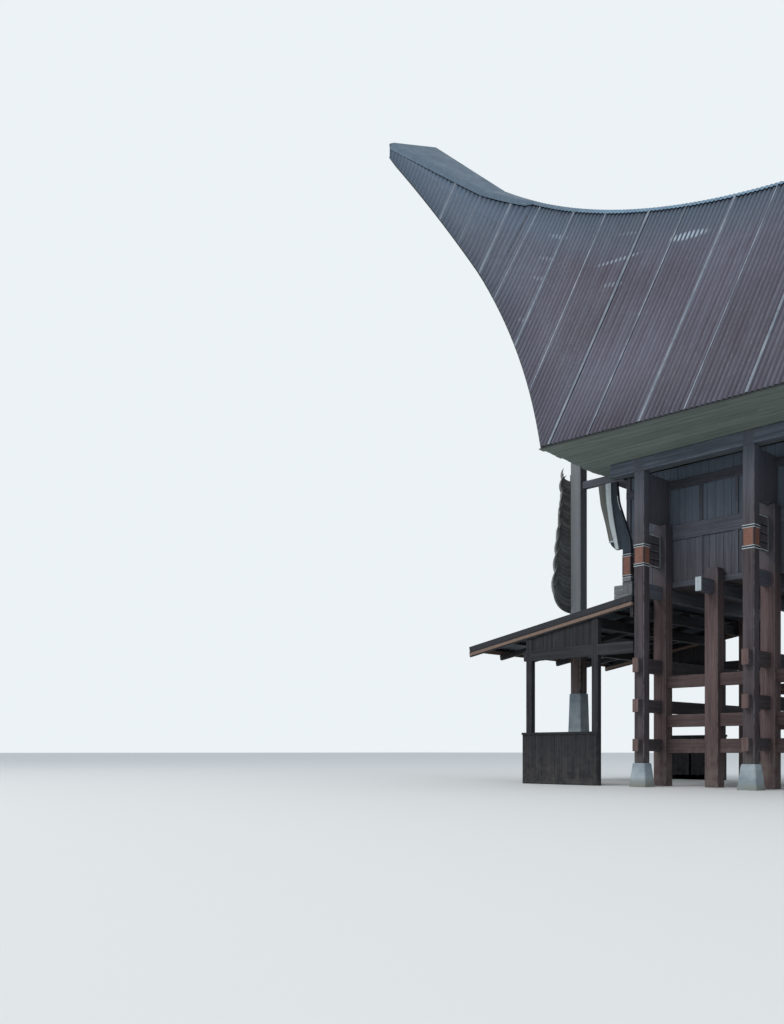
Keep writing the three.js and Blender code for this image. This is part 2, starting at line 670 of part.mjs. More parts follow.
const material = (color, roughness, metalness = 0) => (
  new THREE.MeshStandardMaterial({ color, roughness, metalness }));
const MATERIALS = {
  timber: material(0x4a302a, 0.75),
  board: material(0x3a2a28, 0.8),
  concrete: material(0xb9c0c6, 0.9),
  sheet: material(0x4b3a42, 0.45, 0.6),
  sheet_trim: material(0x4b6070, 0.45, 0.6),
  plank: material(0x6d6b55, 0.8),
  horn: material(0x2b2a28, 0.5),
};

const house = new THREE.Group();

function add(name, solid, finish) {
  const mesh = new THREE.Mesh(toGeometry(solid), MATERIALS[finish]);
  mesh.name = name;
  house.add(mesh);
}

ROWS.forEach((y, i) => {
  add(`cross_frame_${i + 1}`, crossFrame(y), 'timber');
  for (const [side, word] of [[-1, 'left'], [1, 'right']]) {
    add(`plinth_${word}_${i + 1}`,
      taperedPlinth(side * POST_X, y, PLINTH_FOOT, PLINTH_HEAD, PLINTH_HEIGHT - GAP), 'concrete');
  }
});
for (const [side, word] of [[-1, 'left'], [1, 'right']]) {
  add(`inner_frame_${word}`, innerFrame(side), 'timber');
  add(`wall_plate_${word}`, block(side * OUTER_FACE_X, side * (OUTER_FACE_X - POST),
    -PLATE_HALF_LENGTH, PLATE_HALF_LENGTH, PLATE_BOTTOM, PLATE_TOP), 'timber');
  add(`side_wall_${word}`, sideWall(side), 'board');
  add(`roof_${word}`, side > 0 ? roofSlope() : mirrorX(roofSlope()), 'sheet');
  add(`soffit_${word}`, side > 0 ? soffit() : mirrorX(soffit()), 'plank');
}
add('floor', floor(), 'timber');
add('ridge_beam', ridgeBeam(), 'timber');
add('ridge_cap', ridgeCap(), 'sheet_trim');
for (const [word, place] of [['front', (solid) => solid], ['rear', mirrorY]]) {
  add(`${word}_wall`, place(endWall()), 'board');
  add(`${word}_gable`, place(gable()), 'board');
  add(`${word}_end_cap`, place(endCap()), 'sheet_trim');
  add(`${word}_pole`, place(pole()), 'timber');
  add(`${word}_pole_plinth`,
    place(taperedPlinth(0, -POLE_Y, POLE_PLINTH_FOOT, POLE_PLINTH_HEAD, POLE_PLINTH_TOP)), 'concrete');
  add(`${word}_pole_beam`, place(poleBeam()), 'timber');
}
add('horn_stack', hornStack(), 'horn');
add('porch_roof', porchRoof(), 'sheet_trim');
add('porch_frame', porchFrame(), 'timber');
add('porch_wall_left', mirrorX(porchWall()), 'board');
add('porch_wall_right', porchWall(), 'board');

export default house;
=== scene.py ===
"""Looks of a tongkonan: a timber house on posts under a corrugated saddle roof.

Units are metres. X runs across the house, Y along its ridge with the porch at -Y, Z up.
"""

import itertools
import math

import bpy
import numpy as np
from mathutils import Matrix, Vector


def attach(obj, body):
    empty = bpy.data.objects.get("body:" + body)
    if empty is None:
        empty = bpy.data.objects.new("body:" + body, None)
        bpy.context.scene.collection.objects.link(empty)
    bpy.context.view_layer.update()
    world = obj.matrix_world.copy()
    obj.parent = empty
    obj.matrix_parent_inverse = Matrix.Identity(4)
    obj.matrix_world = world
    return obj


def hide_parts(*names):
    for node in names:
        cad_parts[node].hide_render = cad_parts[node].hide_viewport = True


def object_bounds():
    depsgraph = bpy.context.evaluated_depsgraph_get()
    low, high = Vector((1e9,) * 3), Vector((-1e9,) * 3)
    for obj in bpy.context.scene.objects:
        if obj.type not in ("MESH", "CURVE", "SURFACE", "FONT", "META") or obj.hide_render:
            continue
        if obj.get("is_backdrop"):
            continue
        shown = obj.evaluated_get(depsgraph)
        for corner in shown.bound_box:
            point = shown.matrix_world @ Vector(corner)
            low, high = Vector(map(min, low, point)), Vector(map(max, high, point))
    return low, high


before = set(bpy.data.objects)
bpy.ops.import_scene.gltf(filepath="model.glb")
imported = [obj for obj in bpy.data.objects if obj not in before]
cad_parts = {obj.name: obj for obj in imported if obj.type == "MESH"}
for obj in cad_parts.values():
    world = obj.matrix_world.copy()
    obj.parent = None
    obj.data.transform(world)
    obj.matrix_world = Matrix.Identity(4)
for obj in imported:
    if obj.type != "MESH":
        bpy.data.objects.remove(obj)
cad_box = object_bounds()
rng = np.random.default_rng(11)

# Measures of the part

SIGNS = (-1, 1)
SIDES = (("left", -1), ("right", 1))
ENDS = (("front", -1), ("rear", 1))

BAY = 1.7
ROWS = [BAY * n for n in range(-2, 3)]
HALF_ROWS = [ROWS[0] + BAY / 2 * n for n in range(9)]
OUTER_FACE_X = 2.09
POST = 0.165
POST_X = OUTER_FACE_X - POST / 2
POST_BACK_X = OUTER_FACE_X - POST
PLINTH_HEIGHT = 0.3597
TIES = [(0.535, 0.72), (1.12, 1.315), (1.715, 1.93)]
COLLAR = (3.31, 3.64)
INNER_FACE_X = 1.51
INNER_POST = 0.21
INNER_X = INNER_FACE_X - INNER_POST / 2
INNER_TOPS = (4.0196, 3.25)
INNER_RAILS = [(0.51, 0.72), (0.905, 1.095), (1.505, 1.69)]
WALL_X = 1.29
END_WALL_Y = 4.13
RIB_X = 1.2915
RIB_FACE_X = 1.340
TIE_END_X = 2.19
# What keeps the face of one piece clear of another's
CLEAR = 0.0004
PLATE = (4.74, 4.93)
GABLE_Y = 4.40
POLE_Y = 5.95
POLE = 0.22
POLE_FOOT = 1.6

TIP_Y = 9.59
CORNER_Y = 4.55
CORNER_Z = 5.18
EAVE_X = 3.0
STRAIGHT_Y = 7.7
CAP_START_Y = 6.9
CAP_SLOPE = math.radians(20)
CAP_TAN = math.tan(CAP_SLOPE)
CAP_LIP = 0.10
ROOF_THICKNESS = 0.04
PITCH = 0.0762
RIDGE_BEAM_HALF = 0.055
RIDGE_BEAM_DEPTH = 0.17
RIDGE_BEAM_DROP = ROOF_THICKNESS / math.cos(CAP_SLOPE) + RIDGE_BEAM_HALF * CAP_TAN + 0.0003
WIDE_SEAMS = [-8.18, -7.18, -5.95, -4.40, -2.85, -1.30, 0.25, 1.80, 3.35, 4.90, 6.45, 7.60, 8.60]
THIN_SEAMS = [-7.71, -6.72, -5.27, -3.70, -2.16, -0.52, 1.02, 2.57, 4.12, 5.67, 7.02, 8.10]


def smooth(value, low, high):
    t = np.clip((value - low) / (high - low), 0, 1)
    return t * t * (3 - 2 * t)


def ridge_z(y):
    u = np.minimum(np.abs(y), STRAIGHT_Y)
    return 9.233 + 0.0331 * u**2 + 0.000119 * u**4 + 0.925 * np.maximum(0, np.abs(y) - STRAIGHT_Y)


def cap_x(y):
    along = np.clip((np.abs(y) - CAP_START_Y) / (TIP_Y - CAP_START_Y), 0, 1)
    return 0.12 + 1.21 * along**0.65


def edge_x(y):
    flare = np.maximum(0, 7.2 - np.abs(y))
    mouth = np.minimum(EAVE_X, 1.38 + 0.20 * flare + 0.155 * flare**2)
    return np.where(np.abs(y) <= CORNER_Y, EAVE_X, mouth)


def edge_z(y):
    u = np.abs(y)
    w = u - CORNER_Y
    return np.where(u <= CORNER_Y, 5.10 + 0.08 * (u / CORNER_Y) ** 2, CORNER_Z + 1.712 * w - 0.0495 * w**2)


def roof_line(y, depth):
    """Shoulder and edge of the right-hand slope at y, each as (x, z), moved in by depth."""
    y = np.asarray(y, float)
    depth = np.asarray(depth, float)
    shoulder_x = cap_x(y)
    shoulder_z = ridge_z(y) - shoulder_x * CAP_TAN
    pitch = np.arctan2(shoulder_z - edge_z(y), edge_x(y) - shoulder_x)
    miter = depth / np.cos((pitch - CAP_SLOPE) / 2)
    middle = (pitch + CAP_SLOPE) / 2
    shoulder = (shoulder_x - miter * np.sin(middle), shoulder_z - miter * np.cos(middle))
    edge = (edge_x(y) - depth * np.sin(pitch), edge_z(y) - depth * np.cos(pitch))
    return shoulder, edge


def slope_point(y, share, depth):
    """Points on the right-hand slope: share runs from 0 at the shoulder to 1 at the edge."""
    (sx, sz), (ex, ez) = roof_line(y, depth)
    return np.stack([sx + (ex - sx) * share, np.broadcast_to(y, np.shape(sx + share)) + 0.0,
                     sz + (ez - sz) * share], -1)


def slope_length(y):
    (sx, sz), (ex, ez) = roof_line(y, 0.0)
    return np.hypot(ex - sx, ez - sz)


def cap_reach(y):
    """How far the rounding of the cap reaches from the shoulder, to both sides."""
    lip = CAP_LIP * (0.5 + 0.5 * smooth(np.abs(y), 4.5, 6.5))
    return np.minimum(np.minimum(lip, 0.3 * slope_length(y)), 0.45 * cap_x(y))


def mirrored(points, side):
    return points * np.array([side, 1.0, 1.0])


def boards(start, end, least, spread, gap=0.003, slack=0.02):
    """Boards of uneven width side by side from start to end, each as (start, end)."""
    while start < end - slack:
        width = min(least + spread * rng.random(), end - start)
        yield start, start + width - gap
        start += width


# Closed bodies

def box_pattern():
    """Corners, own axes and outward faces of a box with cut edges; the faces on a cut have mark 1."""
    signs = np.array(list(itertools.product(SIGNS, repeat=3)) * 3, float)
    own = np.repeat(np.eye(3), 8, axis=0)
    rough = signs * (0.8 + 0.2 * own)
    faces, marks = [], []
    for way in filter(any, itertools.product((-1, 0, 1), repeat=3)):
        reach = rough @ way
        face = np.flatnonzero(reach > reach.max() - 0.01)
        arms = rough[face] - rough[face].mean(0)
        turns = [math.atan2(np.cross(arms[0], arm) @ way, arms[0] @ arm) for arm in arms]
        faces.append(face[np.argsort(turns)].tolist())
        marks.append(1.0 if np.count_nonzero(way) > 1 else 0.0)
    return signs, own, faces, marks


BOX_SIGNS, BOX_OWN, BOX_FACES, BOX_MARKS = box_pattern()


class Work:
    """Closed bodies gathered into one mesh, each with its own grain direction and tone."""

    def __init__(self):
        self.points, self.faces, self.grain, self.tone = [], [], [], []
        self.marks, self.finish, self.smooth = [], [], []
        self.size = 0

    def body(self, points, faces, grain, marks, finish, tone, smooth=False):
        """A body whose grain starts anywhere, with one tone."""
        grain = grain + rng.uniform(0, 40, 3)
        tone = np.full(len(points), rng.random() if tone is None else tone)
        self.add(points, faces, grain, tone, marks, finish, smooth)

    def add(self, points, faces, grain, tone, marks, finish, smooth):
        self.points.append(points)
        self.grain.append(grain)
        self.tone.append(tone)
        self.faces += [[n + self.size for n in face] for face in faces]
        self.marks += marks
        self.finish += [finish] * len(faces)
        self.smooth += [smooth] * len(faces)
        self.size += len(points)

    def box(self, centre, half, axes, cut=0.004, finish=0, tone=None):
        """A box of half sizes along its axes, whose grain runs along the longest of them."""
        cut = min(cut, 0.45 * half.min())
        local = BOX_SIGNS * (half - cut * (1 - BOX_OWN))
        faces = BOX_FACES if np.linalg.det(axes) > 0 else [f[::-1] for f in BOX_FACES]
        order = np.argsort(-half, kind="stable")
        self.body(centre + local @ axes, faces, local[:, order], BOX_MARKS, finish, tone)

    def block(self, x0, x1, y0, y1, z0, z1, cut=0.004, finish=0, tone=None):
        """A box between the given planes, in any order."""
        a, b = np.array([x0, y0, z0], float), np.array([x1, y1, z1], float)
        self.box((a + b) / 2, abs(b - a) / 2, np.eye(3), cut, finish, tone)

    def corner(self, side, end, x0, x1, y0, y1, z0, z1, *looks):
        """A block given as on the right at the rear, mirrored by side across X and by end along Y."""
        self.block(side * x0, side * x1, end * y0, end * y1, z0, z1, *looks)

    def rail(self, x0, x1, y, half, z0, z1, *looks):
        """A block with its middle at y."""
        self.block(x0, x1, y - half, y + half, z0, z1, *looks)

    def post(self, x, y, half, z0, z1, *looks):
        """A square block round x and y."""
        self.rail(x - half, x + half, y, half, z0, z1, *looks)

    def stick(self, a, b, width, depth, side, cut=0.004, finish=0):
        """A board from a to b; width lies along side and depth across both."""
        a, b, side = (np.asarray(v, float) for v in (a, b, side))
        length = np.linalg.norm(b - a)
        along = (b - a) / length
        side = side - along * (side @ along)
        side /= np.linalg.norm(side)
        self.box((a + b) / 2, np.array([width, depth, length]) / 2,
                 np.array([side, np.cross(along, side), along]), cut, finish)

    def sweep(self, rings, finish=0, tone=None, smooth=False, turn=None):
        """A closed body through like rings of points, with flat ends.

        The grain runs from ring to ring, or along the first axis named in turn.
        """
        rings = np.asarray(rings, float)
        rows, columns = rings.shape[:2]
        number = np.arange(rows * columns).reshape(rows, columns)
        ahead = np.roll(number, -1, axis=1)
        faces = np.stack([number[:-1], ahead[:-1], ahead[1:], number[1:]], -1).reshape(-1, 4).tolist()
        faces += [number[0, ::-1].tolist(), number[-1].tolist()]
        points = rings.reshape(-1, 3)
        volume = sum(np.dot(points[f[0]], np.cross(points[f[i]], points[f[i + 1]]))
                     for f in faces for i in range(1, len(f) - 1))
        if volume < 0:
            faces = [f[::-1] for f in faces]
        if turn:
            grain = points[:, turn]
        else:
            along, across = (np.concatenate([[0], np.cumsum(np.linalg.norm(np.diff(line, axis=0), axis=1))])
                             for line in (rings.mean(1), rings[0]))
            grain = np.stack([np.repeat(along, columns), np.tile(across, rows),
                              np.zeros(rows * columns)], -1)
        self.body(points, faces, grain, [0.0] * len(faces), finish, tone, smooth)

    def strip(self, low, high, finish=0):
        """A board between four lines: low and high are (left, right) pairs."""
        self.sweep(np.stack([low[0], low[1], high[1], high[0]], 1), finish)

    def between(self, line, places, depths, finish=0):
        """A board between the lines that line(place, depth) gives."""
        low, high = ([line(place, depth) for place in places] for depth in depths)
        self.strip(low, high, finish)


def shell(upper, lower):
    """Points and faces of a closed shell between two grids of points."""
    rows, columns = upper.shape[:2]
    count = rows * columns
    number = np.arange(count).reshape(rows, columns)
    top = np.stack([number[:-1, :-1], number[:-1, 1:], number[1:, 1:], number[1:, :-1]], -1).reshape(-1, 4)
    rim = np.concatenate([number[:-1, 0], number[-1, :-1], number[:0:-1, -1], number[0, :0:-1]])
    ahead = np.roll(rim, -1)
    sides = np.stack([rim, ahead, ahead + count, rim + count], -1)
    faces = np.concatenate([top, top[:, [0, 3, 2, 1]] + count, sides])
    points = np.concatenate([upper.reshape(-1, 3), lower.reshape(-1, 3)])
    middle = points[faces].mean(1)
    normal = np.cross(points[faces[:, 1]] - points[faces[:, 0]], points[faces[:, 2]] - points[faces[:, 0]])
    if (middle * normal).sum() < 0:
        faces = faces[:, ::-1]
    return points, faces


def add_object(name, data):
    obj = bpy.data.objects.new(name, data)
    bpy.context.scene.collection.objects.link(obj)
    return obj


def piece(name, work, materials, slot, *replaced):
    """One mesh that stands for the named nodes."""
    mesh = bpy.data.meshes.new(name)
    mesh.from_pydata(np.concatenate(work.points).tolist(), [], work.faces)
    for key, kind, domain, field, data in (
            ("grain", "FLOAT_VECTOR", "POINT", "vector", np.concatenate(work.grain)),
            ("tone", "FLOAT", "POINT", "value", np.concatenate(work.tone)),
            ("edge", "FLOAT", "FACE", "value", np.array(work.marks))):
        attribute = mesh.attributes.new(key, kind, domain)
        attribute.data.foreach_set(field, data.astype(np.float32).ravel())
    for material in materials:
        mesh.materials.append(material)
    mesh.polygons.foreach_set("use_smooth", work.smooth)
    mesh.polygons.foreach_set("material_index", work.finish)
    obj = add_object(name, mesh)
    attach(obj, "root")
    if replaced:
        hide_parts(*replaced)


def sheet(name, points, faces, grain, tone, material, slot, *replaced):
    """One smooth mesh of sheet metal that stands for the named nodes."""
    work = Work()
    work.add(points, faces.tolist(), grain, tone, [0.0] * len(faces), 0, True)
    piece(name, work, [material], slot, *replaced)


# Materials

def paint(red, green, blue):
    """A linear colour from screen values of 0 to 255."""
    def linear(v):
        v /= 255
        return v / 12.92 if v <= 0.04045 else ((v + 0.055) / 1.055) ** 2.4
    return (linear(red), linear(green), linear(blue), 1.0)


class Shade:
    """A material made of nodes."""

    def __init__(self, name):
        self.material = bpy.data.materials.new(name)
        self.material.use_nodes = True
        self.tree = self.material.node_tree
        self.shader = self.tree.nodes["Principled BSDF"]

    def node(self, kind, inputs, output=0, **settings):
        node = self.tree.nodes.new("ShaderNode" + kind)
        for name, value in settings.items():
            setattr(node, name, value)
        for key, value in inputs.items():
            self.feed(node.inputs[key], value)
        return node.outputs[output]

    def feed(self, socket, value):
        if isinstance(value, bpy.types.NodeSocket):
            self.tree.links.new(value, socket)
        else:
            socket.default_value = value

    def attribute(self, name, output="Fac"):
        return self.node("Attribute", {}, output, attribute_name=name)

    def place(self):
        return self.node("TexCoord", {}, "Object")

    def axis(self, vector, name):
        return self.node("SeparateXYZ", {"Vector": vector}, name)

    def stretch(self, vector, scale):
        return self.node("Mapping", {"Vector": vector, "Scale": scale})

    def noise(self, vector, scale, detail, roughness, distortion=0.0):
        return self.node("TexNoise", {"Vector": vector, "Scale": scale, "Detail": detail,
                                      "Roughness": roughness, "Distortion": distortion})

    def streaks(self, vector, scale, detail, roughness=0.6, distortion=0.0):
        return self.noise(self.stretch(vector, scale), 1.0, detail, roughness, distortion)

    def ramp(self, value, low, high, start=0.0, end=1.0):
        return self.node("MapRange", {"Value": value, "From Min": low, "From Max": high,
                                      "To Min": start, "To Max": end},
                         interpolation_type="SMOOTHSTEP")

    def mix(self, share, a, b, how="MIX"):
        """One colour of two, each given as an output or as screen values of 0 to 255."""
        a, b = (paint(*colour) if isinstance(colour, tuple) else colour for colour in (a, b))
        return self.node("Mix", {0: share, 6: a, 7: b}, 2, data_type="RGBA", blend_type=how)

    def calc(self, operation, a, b=0.0):
        return self.node("Math", {0: a, 1: b}, operation=operation)

    def times(self, a, b):
        return self.calc("MULTIPLY", a, b)

    def bright(self, colour, factor):
        """The colour times a single value."""
        grey = self.node("CombineColor", {"Red": factor, "Green": factor, "Blue": factor})
        return self.mix(1.0, colour, grey, "MULTIPLY")

    def finish(self, colour, roughness, height, distance, specular=0.5):
        bump = self.node("Bump", {"Height": height, "Distance": distance, "Strength": 1.0})
        for name, value in (("Base Color", colour), ("Roughness", roughness), ("Normal", bump),
                            ("Specular IOR Level", specular)):
            self.feed(self.shader.inputs[name], value)
        return self.material


def wood(name, dark, light, worn, dusty=0.0, vary=0.18, high=0.0, upper=(104, 120, 136), span=(3.2, 4.8)):
    """Sawn timber: long streaks, fibres, a tone for each board, worn edges, dust near the ground, and a
    colour blended in by height, which is painted light on some woods and painted shade on others."""
    s = Shade(name)
    grain = s.attribute("grain", "Vector")
    place = s.place()
    height = s.axis(place, "Z")
    streak = s.streaks(grain, (0.9, 24, 24), 5.0, distortion=0.4)
    fibre = s.streaks(grain, (5, 150, 150), 3.0)
    stain = s.noise(place, 1.3, 4.0, 0.6)
    fine = s.noise(place, 9.0, 3.0, 0.6)
    colour = s.mix(s.ramp(streak, 0.32, 0.68), dark, light)
    colour = s.bright(colour, s.ramp(fibre, 0.3, 0.7, 1 - vary, 1 + 0.6 * vary))
    colour = s.bright(colour, s.ramp(s.attribute("tone"), 0.0, 1.0, 1 - vary, 1 + vary))
    # Painted light and shade by height: towards upper over the heights in span, by the share high
    colour = s.mix(s.ramp(height, *span, 0.0, high), colour, upper)
    colour = s.mix(s.times(s.ramp(stain, 0.48, 0.72), 0.16), colour, worn)
    scuff = s.times(s.attribute("edge"), s.ramp(fine, 0.35, 0.62))
    colour = s.mix(s.times(scuff, 0.6), colour, worn)
    dust = s.times(s.times(s.ramp(height, 0.9, 0.0), s.ramp(fine, 0.3, 0.7)), dusty)
    colour = s.mix(dust, colour, (128, 122, 110))
    relief = s.calc("ADD", streak, s.times(fibre, 0.35))
    return s.finish(colour, s.ramp(streak, 0.2, 0.8, 0.84, 0.66), relief, 0.004, 0.3)


def colour_coat(name, base, under, wear):
    """Paint on wood, rubbed through in places to what lies under it."""
    s = Shade(name)
    streak = s.streaks(s.attribute("grain", "Vector"), (2.0, 40, 40), 4.0)
    patch = s.noise(s.place(), 14.0, 5.0, 0.65)
    colour = s.bright(base, s.ramp(streak, 0.25, 0.75, 0.82, 1.1))
    rubbed = s.calc("MAXIMUM", s.ramp(patch, 0.56, 0.68),
                    s.times(s.attribute("edge"), s.ramp(patch, 0.4, 0.55)))
    colour = s.mix(s.times(rubbed, wear), colour, under)
    return s.finish(colour, s.ramp(patch, 0.3, 0.7, 0.6, 0.8), streak, 0.0015)


# Patches where the paint is gone: place along the ridge and down the slope, half sizes, turn, strength
BARE_PATCHES = [
    (-3.42, 0.88, 0.34, 0.11, 0.10, 1.0), (-4.60, 1.30, 0.44, 0.045, 0.35, 0.55),
    (-6.05, 0.76, 0.22, 0.06, 0.0, 0.3), (-6.08, 1.35, 0.20, 0.05, 0.0, 0.25),
    (-6.05, 1.86, 0.18, 0.05, 0.0, 0.25), (-4.50, 1.92, 0.20, 0.06, 0.1, 0.35),
    (-4.62, 0.62, 0.22, 0.05, 0.1, 0.25), (-6.0, 2.9, 0.16, 0.05, 0.0, 0.2),
]


def roof_paint():
    """Painted corrugated sheet: paler and bluer towards the ridge (faded paint and painted sky sheen) and the
    tips (painted haze), streaks, rubbed crests, painted shade in the valleys, patches.
    """
    s = Shade("roof_paint")
    grain = s.attribute("grain", "Vector")
    along, down, crest = (s.axis(grain, name) for name in "XYZ")
    wide = s.streaks(grain, (0.55, 0.4, 0), 5.0)
    streak = s.streaks(grain, (13.1, 0.45, 0), 4.0, 0.65)
    speck = s.streaks(grain, (26, 9, 0), 5.0, 0.7)
    colour = s.mix(s.ramp(wide, 0.3, 0.7), (74, 66, 77), (86, 84, 97))
    colour = s.mix(s.times(s.ramp(streak, 0.35, 0.7), 0.6), colour, (101, 101, 114))
    colour = s.bright(colour, s.ramp(s.attribute("tone"), 0.0, 1.0, 0.9, 1.1))
    # Towards the ridge faded paint with painted sky sheen, towards the tips painted haze
    near_ridge = s.ramp(s.calc("ADD", down, s.times(s.calc("SUBTRACT", wide, 0.5), 1.6)), 1.5, 0.1)
    near_tip = s.ramp(s.calc("ABSOLUTE", along), 5.0, 9.0)
    colour = s.mix(s.times(near_ridge, 0.75), colour, (92, 106, 122))
    colour = s.mix(s.times(near_tip, 0.75), colour, (80, 96, 112))
    rubbed = s.times(s.ramp(crest, 0.6, 1.0), s.ramp(speck, 0.42, 0.7))
    colour = s.mix(s.times(rubbed, 0.4), colour, (122, 126, 136))
    # Painted shade in the valleys of the corrugation, fainter towards the tips where the painted haze lies
    valley = s.calc("SUBTRACT", 1.0, s.ramp(crest, 0.0, 0.45))
    shaded = s.times(valley, s.ramp(near_tip, 0.0, 1.0, 0.38, 0.15))
    colour = s.bright(colour, s.calc("SUBTRACT", 1.0, shaded))
    marks = 0.0
    for y, d, half_y, half_d, turn, strength in BARE_PATCHES:
        centred = s.node("Mapping", {"Vector": grain, "Location": (-y, -d, 0)})
        flat = s.stretch(s.node("Mapping", {"Vector": centred, "Rotation": (0, 0, turn)}),
                         (1 / half_y, 1 / half_d, 0))
        away = s.node("VectorMath", {0: flat}, "Value", operation="LENGTH")
        marks = s.calc("MAXIMUM", marks, s.ramp(away, 1.2, 0.6, 0.0, strength))
    bare = s.times(s.times(marks, s.ramp(crest, 0.35, 0.7)), s.ramp(speck, 0.3, 0.5))
    colour = s.mix(bare, colour, (170, 184, 194))
    grime = s.ramp(s.noise(s.place(), 5.0, 5.0, 0.7), 0.3, 0.7, 0.68, 0.52)
    return s.finish(colour, grime, speck, 0.002, 0.35)


def trim_paint(name, base, other, ends=None, low=5.8, high=7.8, share=1.0, patch_share=0.0):
    """Painted flashing with chalky patches and runs; towards the ends of the roof it takes the roof's hazed
    colour as painted haze, and that colour also comes in random patches.
    """
    s = Shade(name)
    place = s.place()
    patch = s.noise(place, 2.2, 5.0, 0.65)
    run = s.streaks(place, (9, 9, 1.2), 4.0)
    speck = s.noise(place, 30.0, 4.0, 0.7)
    colour = s.mix(s.ramp(patch, 0.35, 0.68), base, other)
    # Painted haze: towards the ends of the roof the colour goes to ends, the roof's hazed colour, and the
    # same colour comes in random patches
    if ends:
        far = s.ramp(s.calc("ABSOLUTE", s.axis(place, "Y")), low, high, 0.0, share)
        patchy = s.ramp(s.noise(place, 0.9, 3.0, 0.6), 0.45, 0.6, 0.0, patch_share)
        colour = s.mix(s.calc("MAXIMUM", far, patchy), colour, ends)
    colour = s.bright(colour, s.ramp(run, 0.3, 0.7, 0.86, 1.1))
    colour = s.mix(s.times(s.ramp(speck, 0.58, 0.7), 0.4), colour, (150, 156, 160))
    return s.finish(colour, s.ramp(patch, 0.3, 0.7, 0.45, 0.65), speck, 0.0015)


def concrete():
    """Pale cast concrete with form lines, pits and a damp foot."""
    s = Shade("concrete_cast")
    place = s.place()
    cloud = s.noise(place, 3.5, 6.0, 0.6)
    grit = s.noise(place, 60.0, 4.0, 0.7)
    pits = s.node("TexVoronoi", {"Vector": place, "Scale": 42.0}, "Distance")
    lines = s.streaks(place, (0.6, 0.6, 11), 3.0)
    colour = s.mix(s.ramp(cloud, 0.3, 0.7), (132, 143, 150), (164, 172, 176))
    colour = s.bright(colour, s.ramp(lines, 0.3, 0.7, 0.88, 1.05))
    colour = s.bright(colour, s.ramp(pits, 0.04, 0.16, 0.7, 1.0))
    foot = s.times(s.ramp(s.axis(place, "Z"), 0.16, 0.0), s.ramp(cloud, 0.25, 0.6, 0.4, 1.0))
    colour = s.mix(foot, colour, (122, 122, 108))
    relief = s.calc("ADD", s.times(grit, 0.6), s.times(s.ramp(pits, 0.0, 0.15), 0.8))
    return s.finish(colour, 0.9, relief, 0.003, 0.25)


def horn_stuff():
    """Weathered dark horn with growth rings and a tone for each horn."""
    s = Shade("horn_dark")
    grain = s.attribute("grain", "Vector")
    rings = s.streaks(grain, (46, 3, 0), 3.0)
    streak = s.streaks(grain, (2.5, 60, 0), 4.0)
    colour = s.mix(s.ramp(streak, 0.3, 0.7), (96, 100, 102), (134, 133, 128))
    colour = s.bright(colour, s.ramp(rings, 0.3, 0.7, 0.75, 1.15))
    colour = s.bright(colour, s.ramp(s.attribute("tone"), 0.0, 1.0, 0.75, 1.3))
    return s.finish(colour, s.ramp(streak, 0.3, 0.7, 0.42, 0.62), rings, 0.003)


# Painted light: the posts turn paler and bluer high up, a painted haze over their shade under the eaves
RED_WOOD = wood("post_wood", (60, 54, 57), (78, 68, 71), (112, 110, 113), dusty=0.4, high=0.32)
# Painted shade: the inner posts turn dark grey from the floor beams up, where they stand in shade
FRAME_WOOD = wood("inner_wood", (76, 61, 61), (96, 78, 77), (116, 106, 104), dusty=0.4, high=0.8,
                  upper=(66, 68, 76), span=(2.7, 3.4))
BEAM_WOOD = wood("beam_wood", (68, 70, 78), (86, 88, 96), (116, 118, 124))
PLATE_WOOD = wood("plate_wood", (72, 77, 87), (95, 101, 112), (120, 124, 130), vary=0.14)
# Paler grey above the porch roof and darker brown below it: weathered wood with painted light above, painted
# shade under the porch roof
POLE_WOOD = wood("pole_wood", (60, 49, 47), (100, 87, 83), (140, 140, 140), high=0.72,
                 upper=(127, 134, 140), span=(2.2, 3.1))
END_WOOD = wood("end_wood", (86, 67, 64), (110, 88, 83), (130, 120, 115), dusty=0.4)
# Painted light: the side walls turn paler and bluer towards the eaves, a painted haze over their shade
WALL_WOOD = wood("wall_wood", (70, 69, 76), (86, 85, 92), (108, 110, 117), vary=0.1, high=0.6)
GABLE_WOOD = wood("gable_wood", (74, 70, 74), (92, 86, 89), (112, 108, 111), vary=0.12)
PORCH_WOOD = wood("porch_wood", (28, 28, 32), (46, 44, 47), (74, 73, 74), dusty=0.15)
SOFFIT_WOOD = wood("soffit_wood", (100, 109, 104), (120, 129, 123), (138, 143, 138), vary=0.07)
BATTEN_WOOD = wood("batten_wood", (58, 63, 61), (72, 78, 76), (90, 94, 92))
EDGE_WOOD = wood("edge_wood", (60, 62, 68), (84, 88, 96), (110, 114, 120))
PALE_WOOD = wood("pale_wood", (98, 102, 106), (126, 128, 130), (146, 146, 142))
RIB_WOOD = wood("rib_wood", (88, 92, 90), (118, 118, 112), (140, 138, 132))
# Dark blue-black wood: painted shade on the shaded body and inner side of the curved corner boards
PAINTED_SHADE_WOOD = wood("painted_shade_wood", (38, 46, 56), (56, 66, 76), (80, 88, 96))
# Dark paint on collars and boards, and also the painted shade behind the soffit planks
DARK_PAINT_AND_SHADE = colour_coat("dark_paint_and_shade", (26, 28, 34), (70, 62, 60), 0.5)
WHITE = colour_coat("white_paint", (178, 186, 188), (120, 112, 106), 0.5)
CREAM = colour_coat("cream_paint", (164, 172, 176), (130, 126, 120), 0.45)
ORANGE = colour_coat("orange_paint", (119, 78, 64), (84, 66, 62), 0.55)
FASCIA = colour_coat("fascia_paint", (118, 96, 82), (84, 76, 72), 0.6)
ROOF = roof_paint()
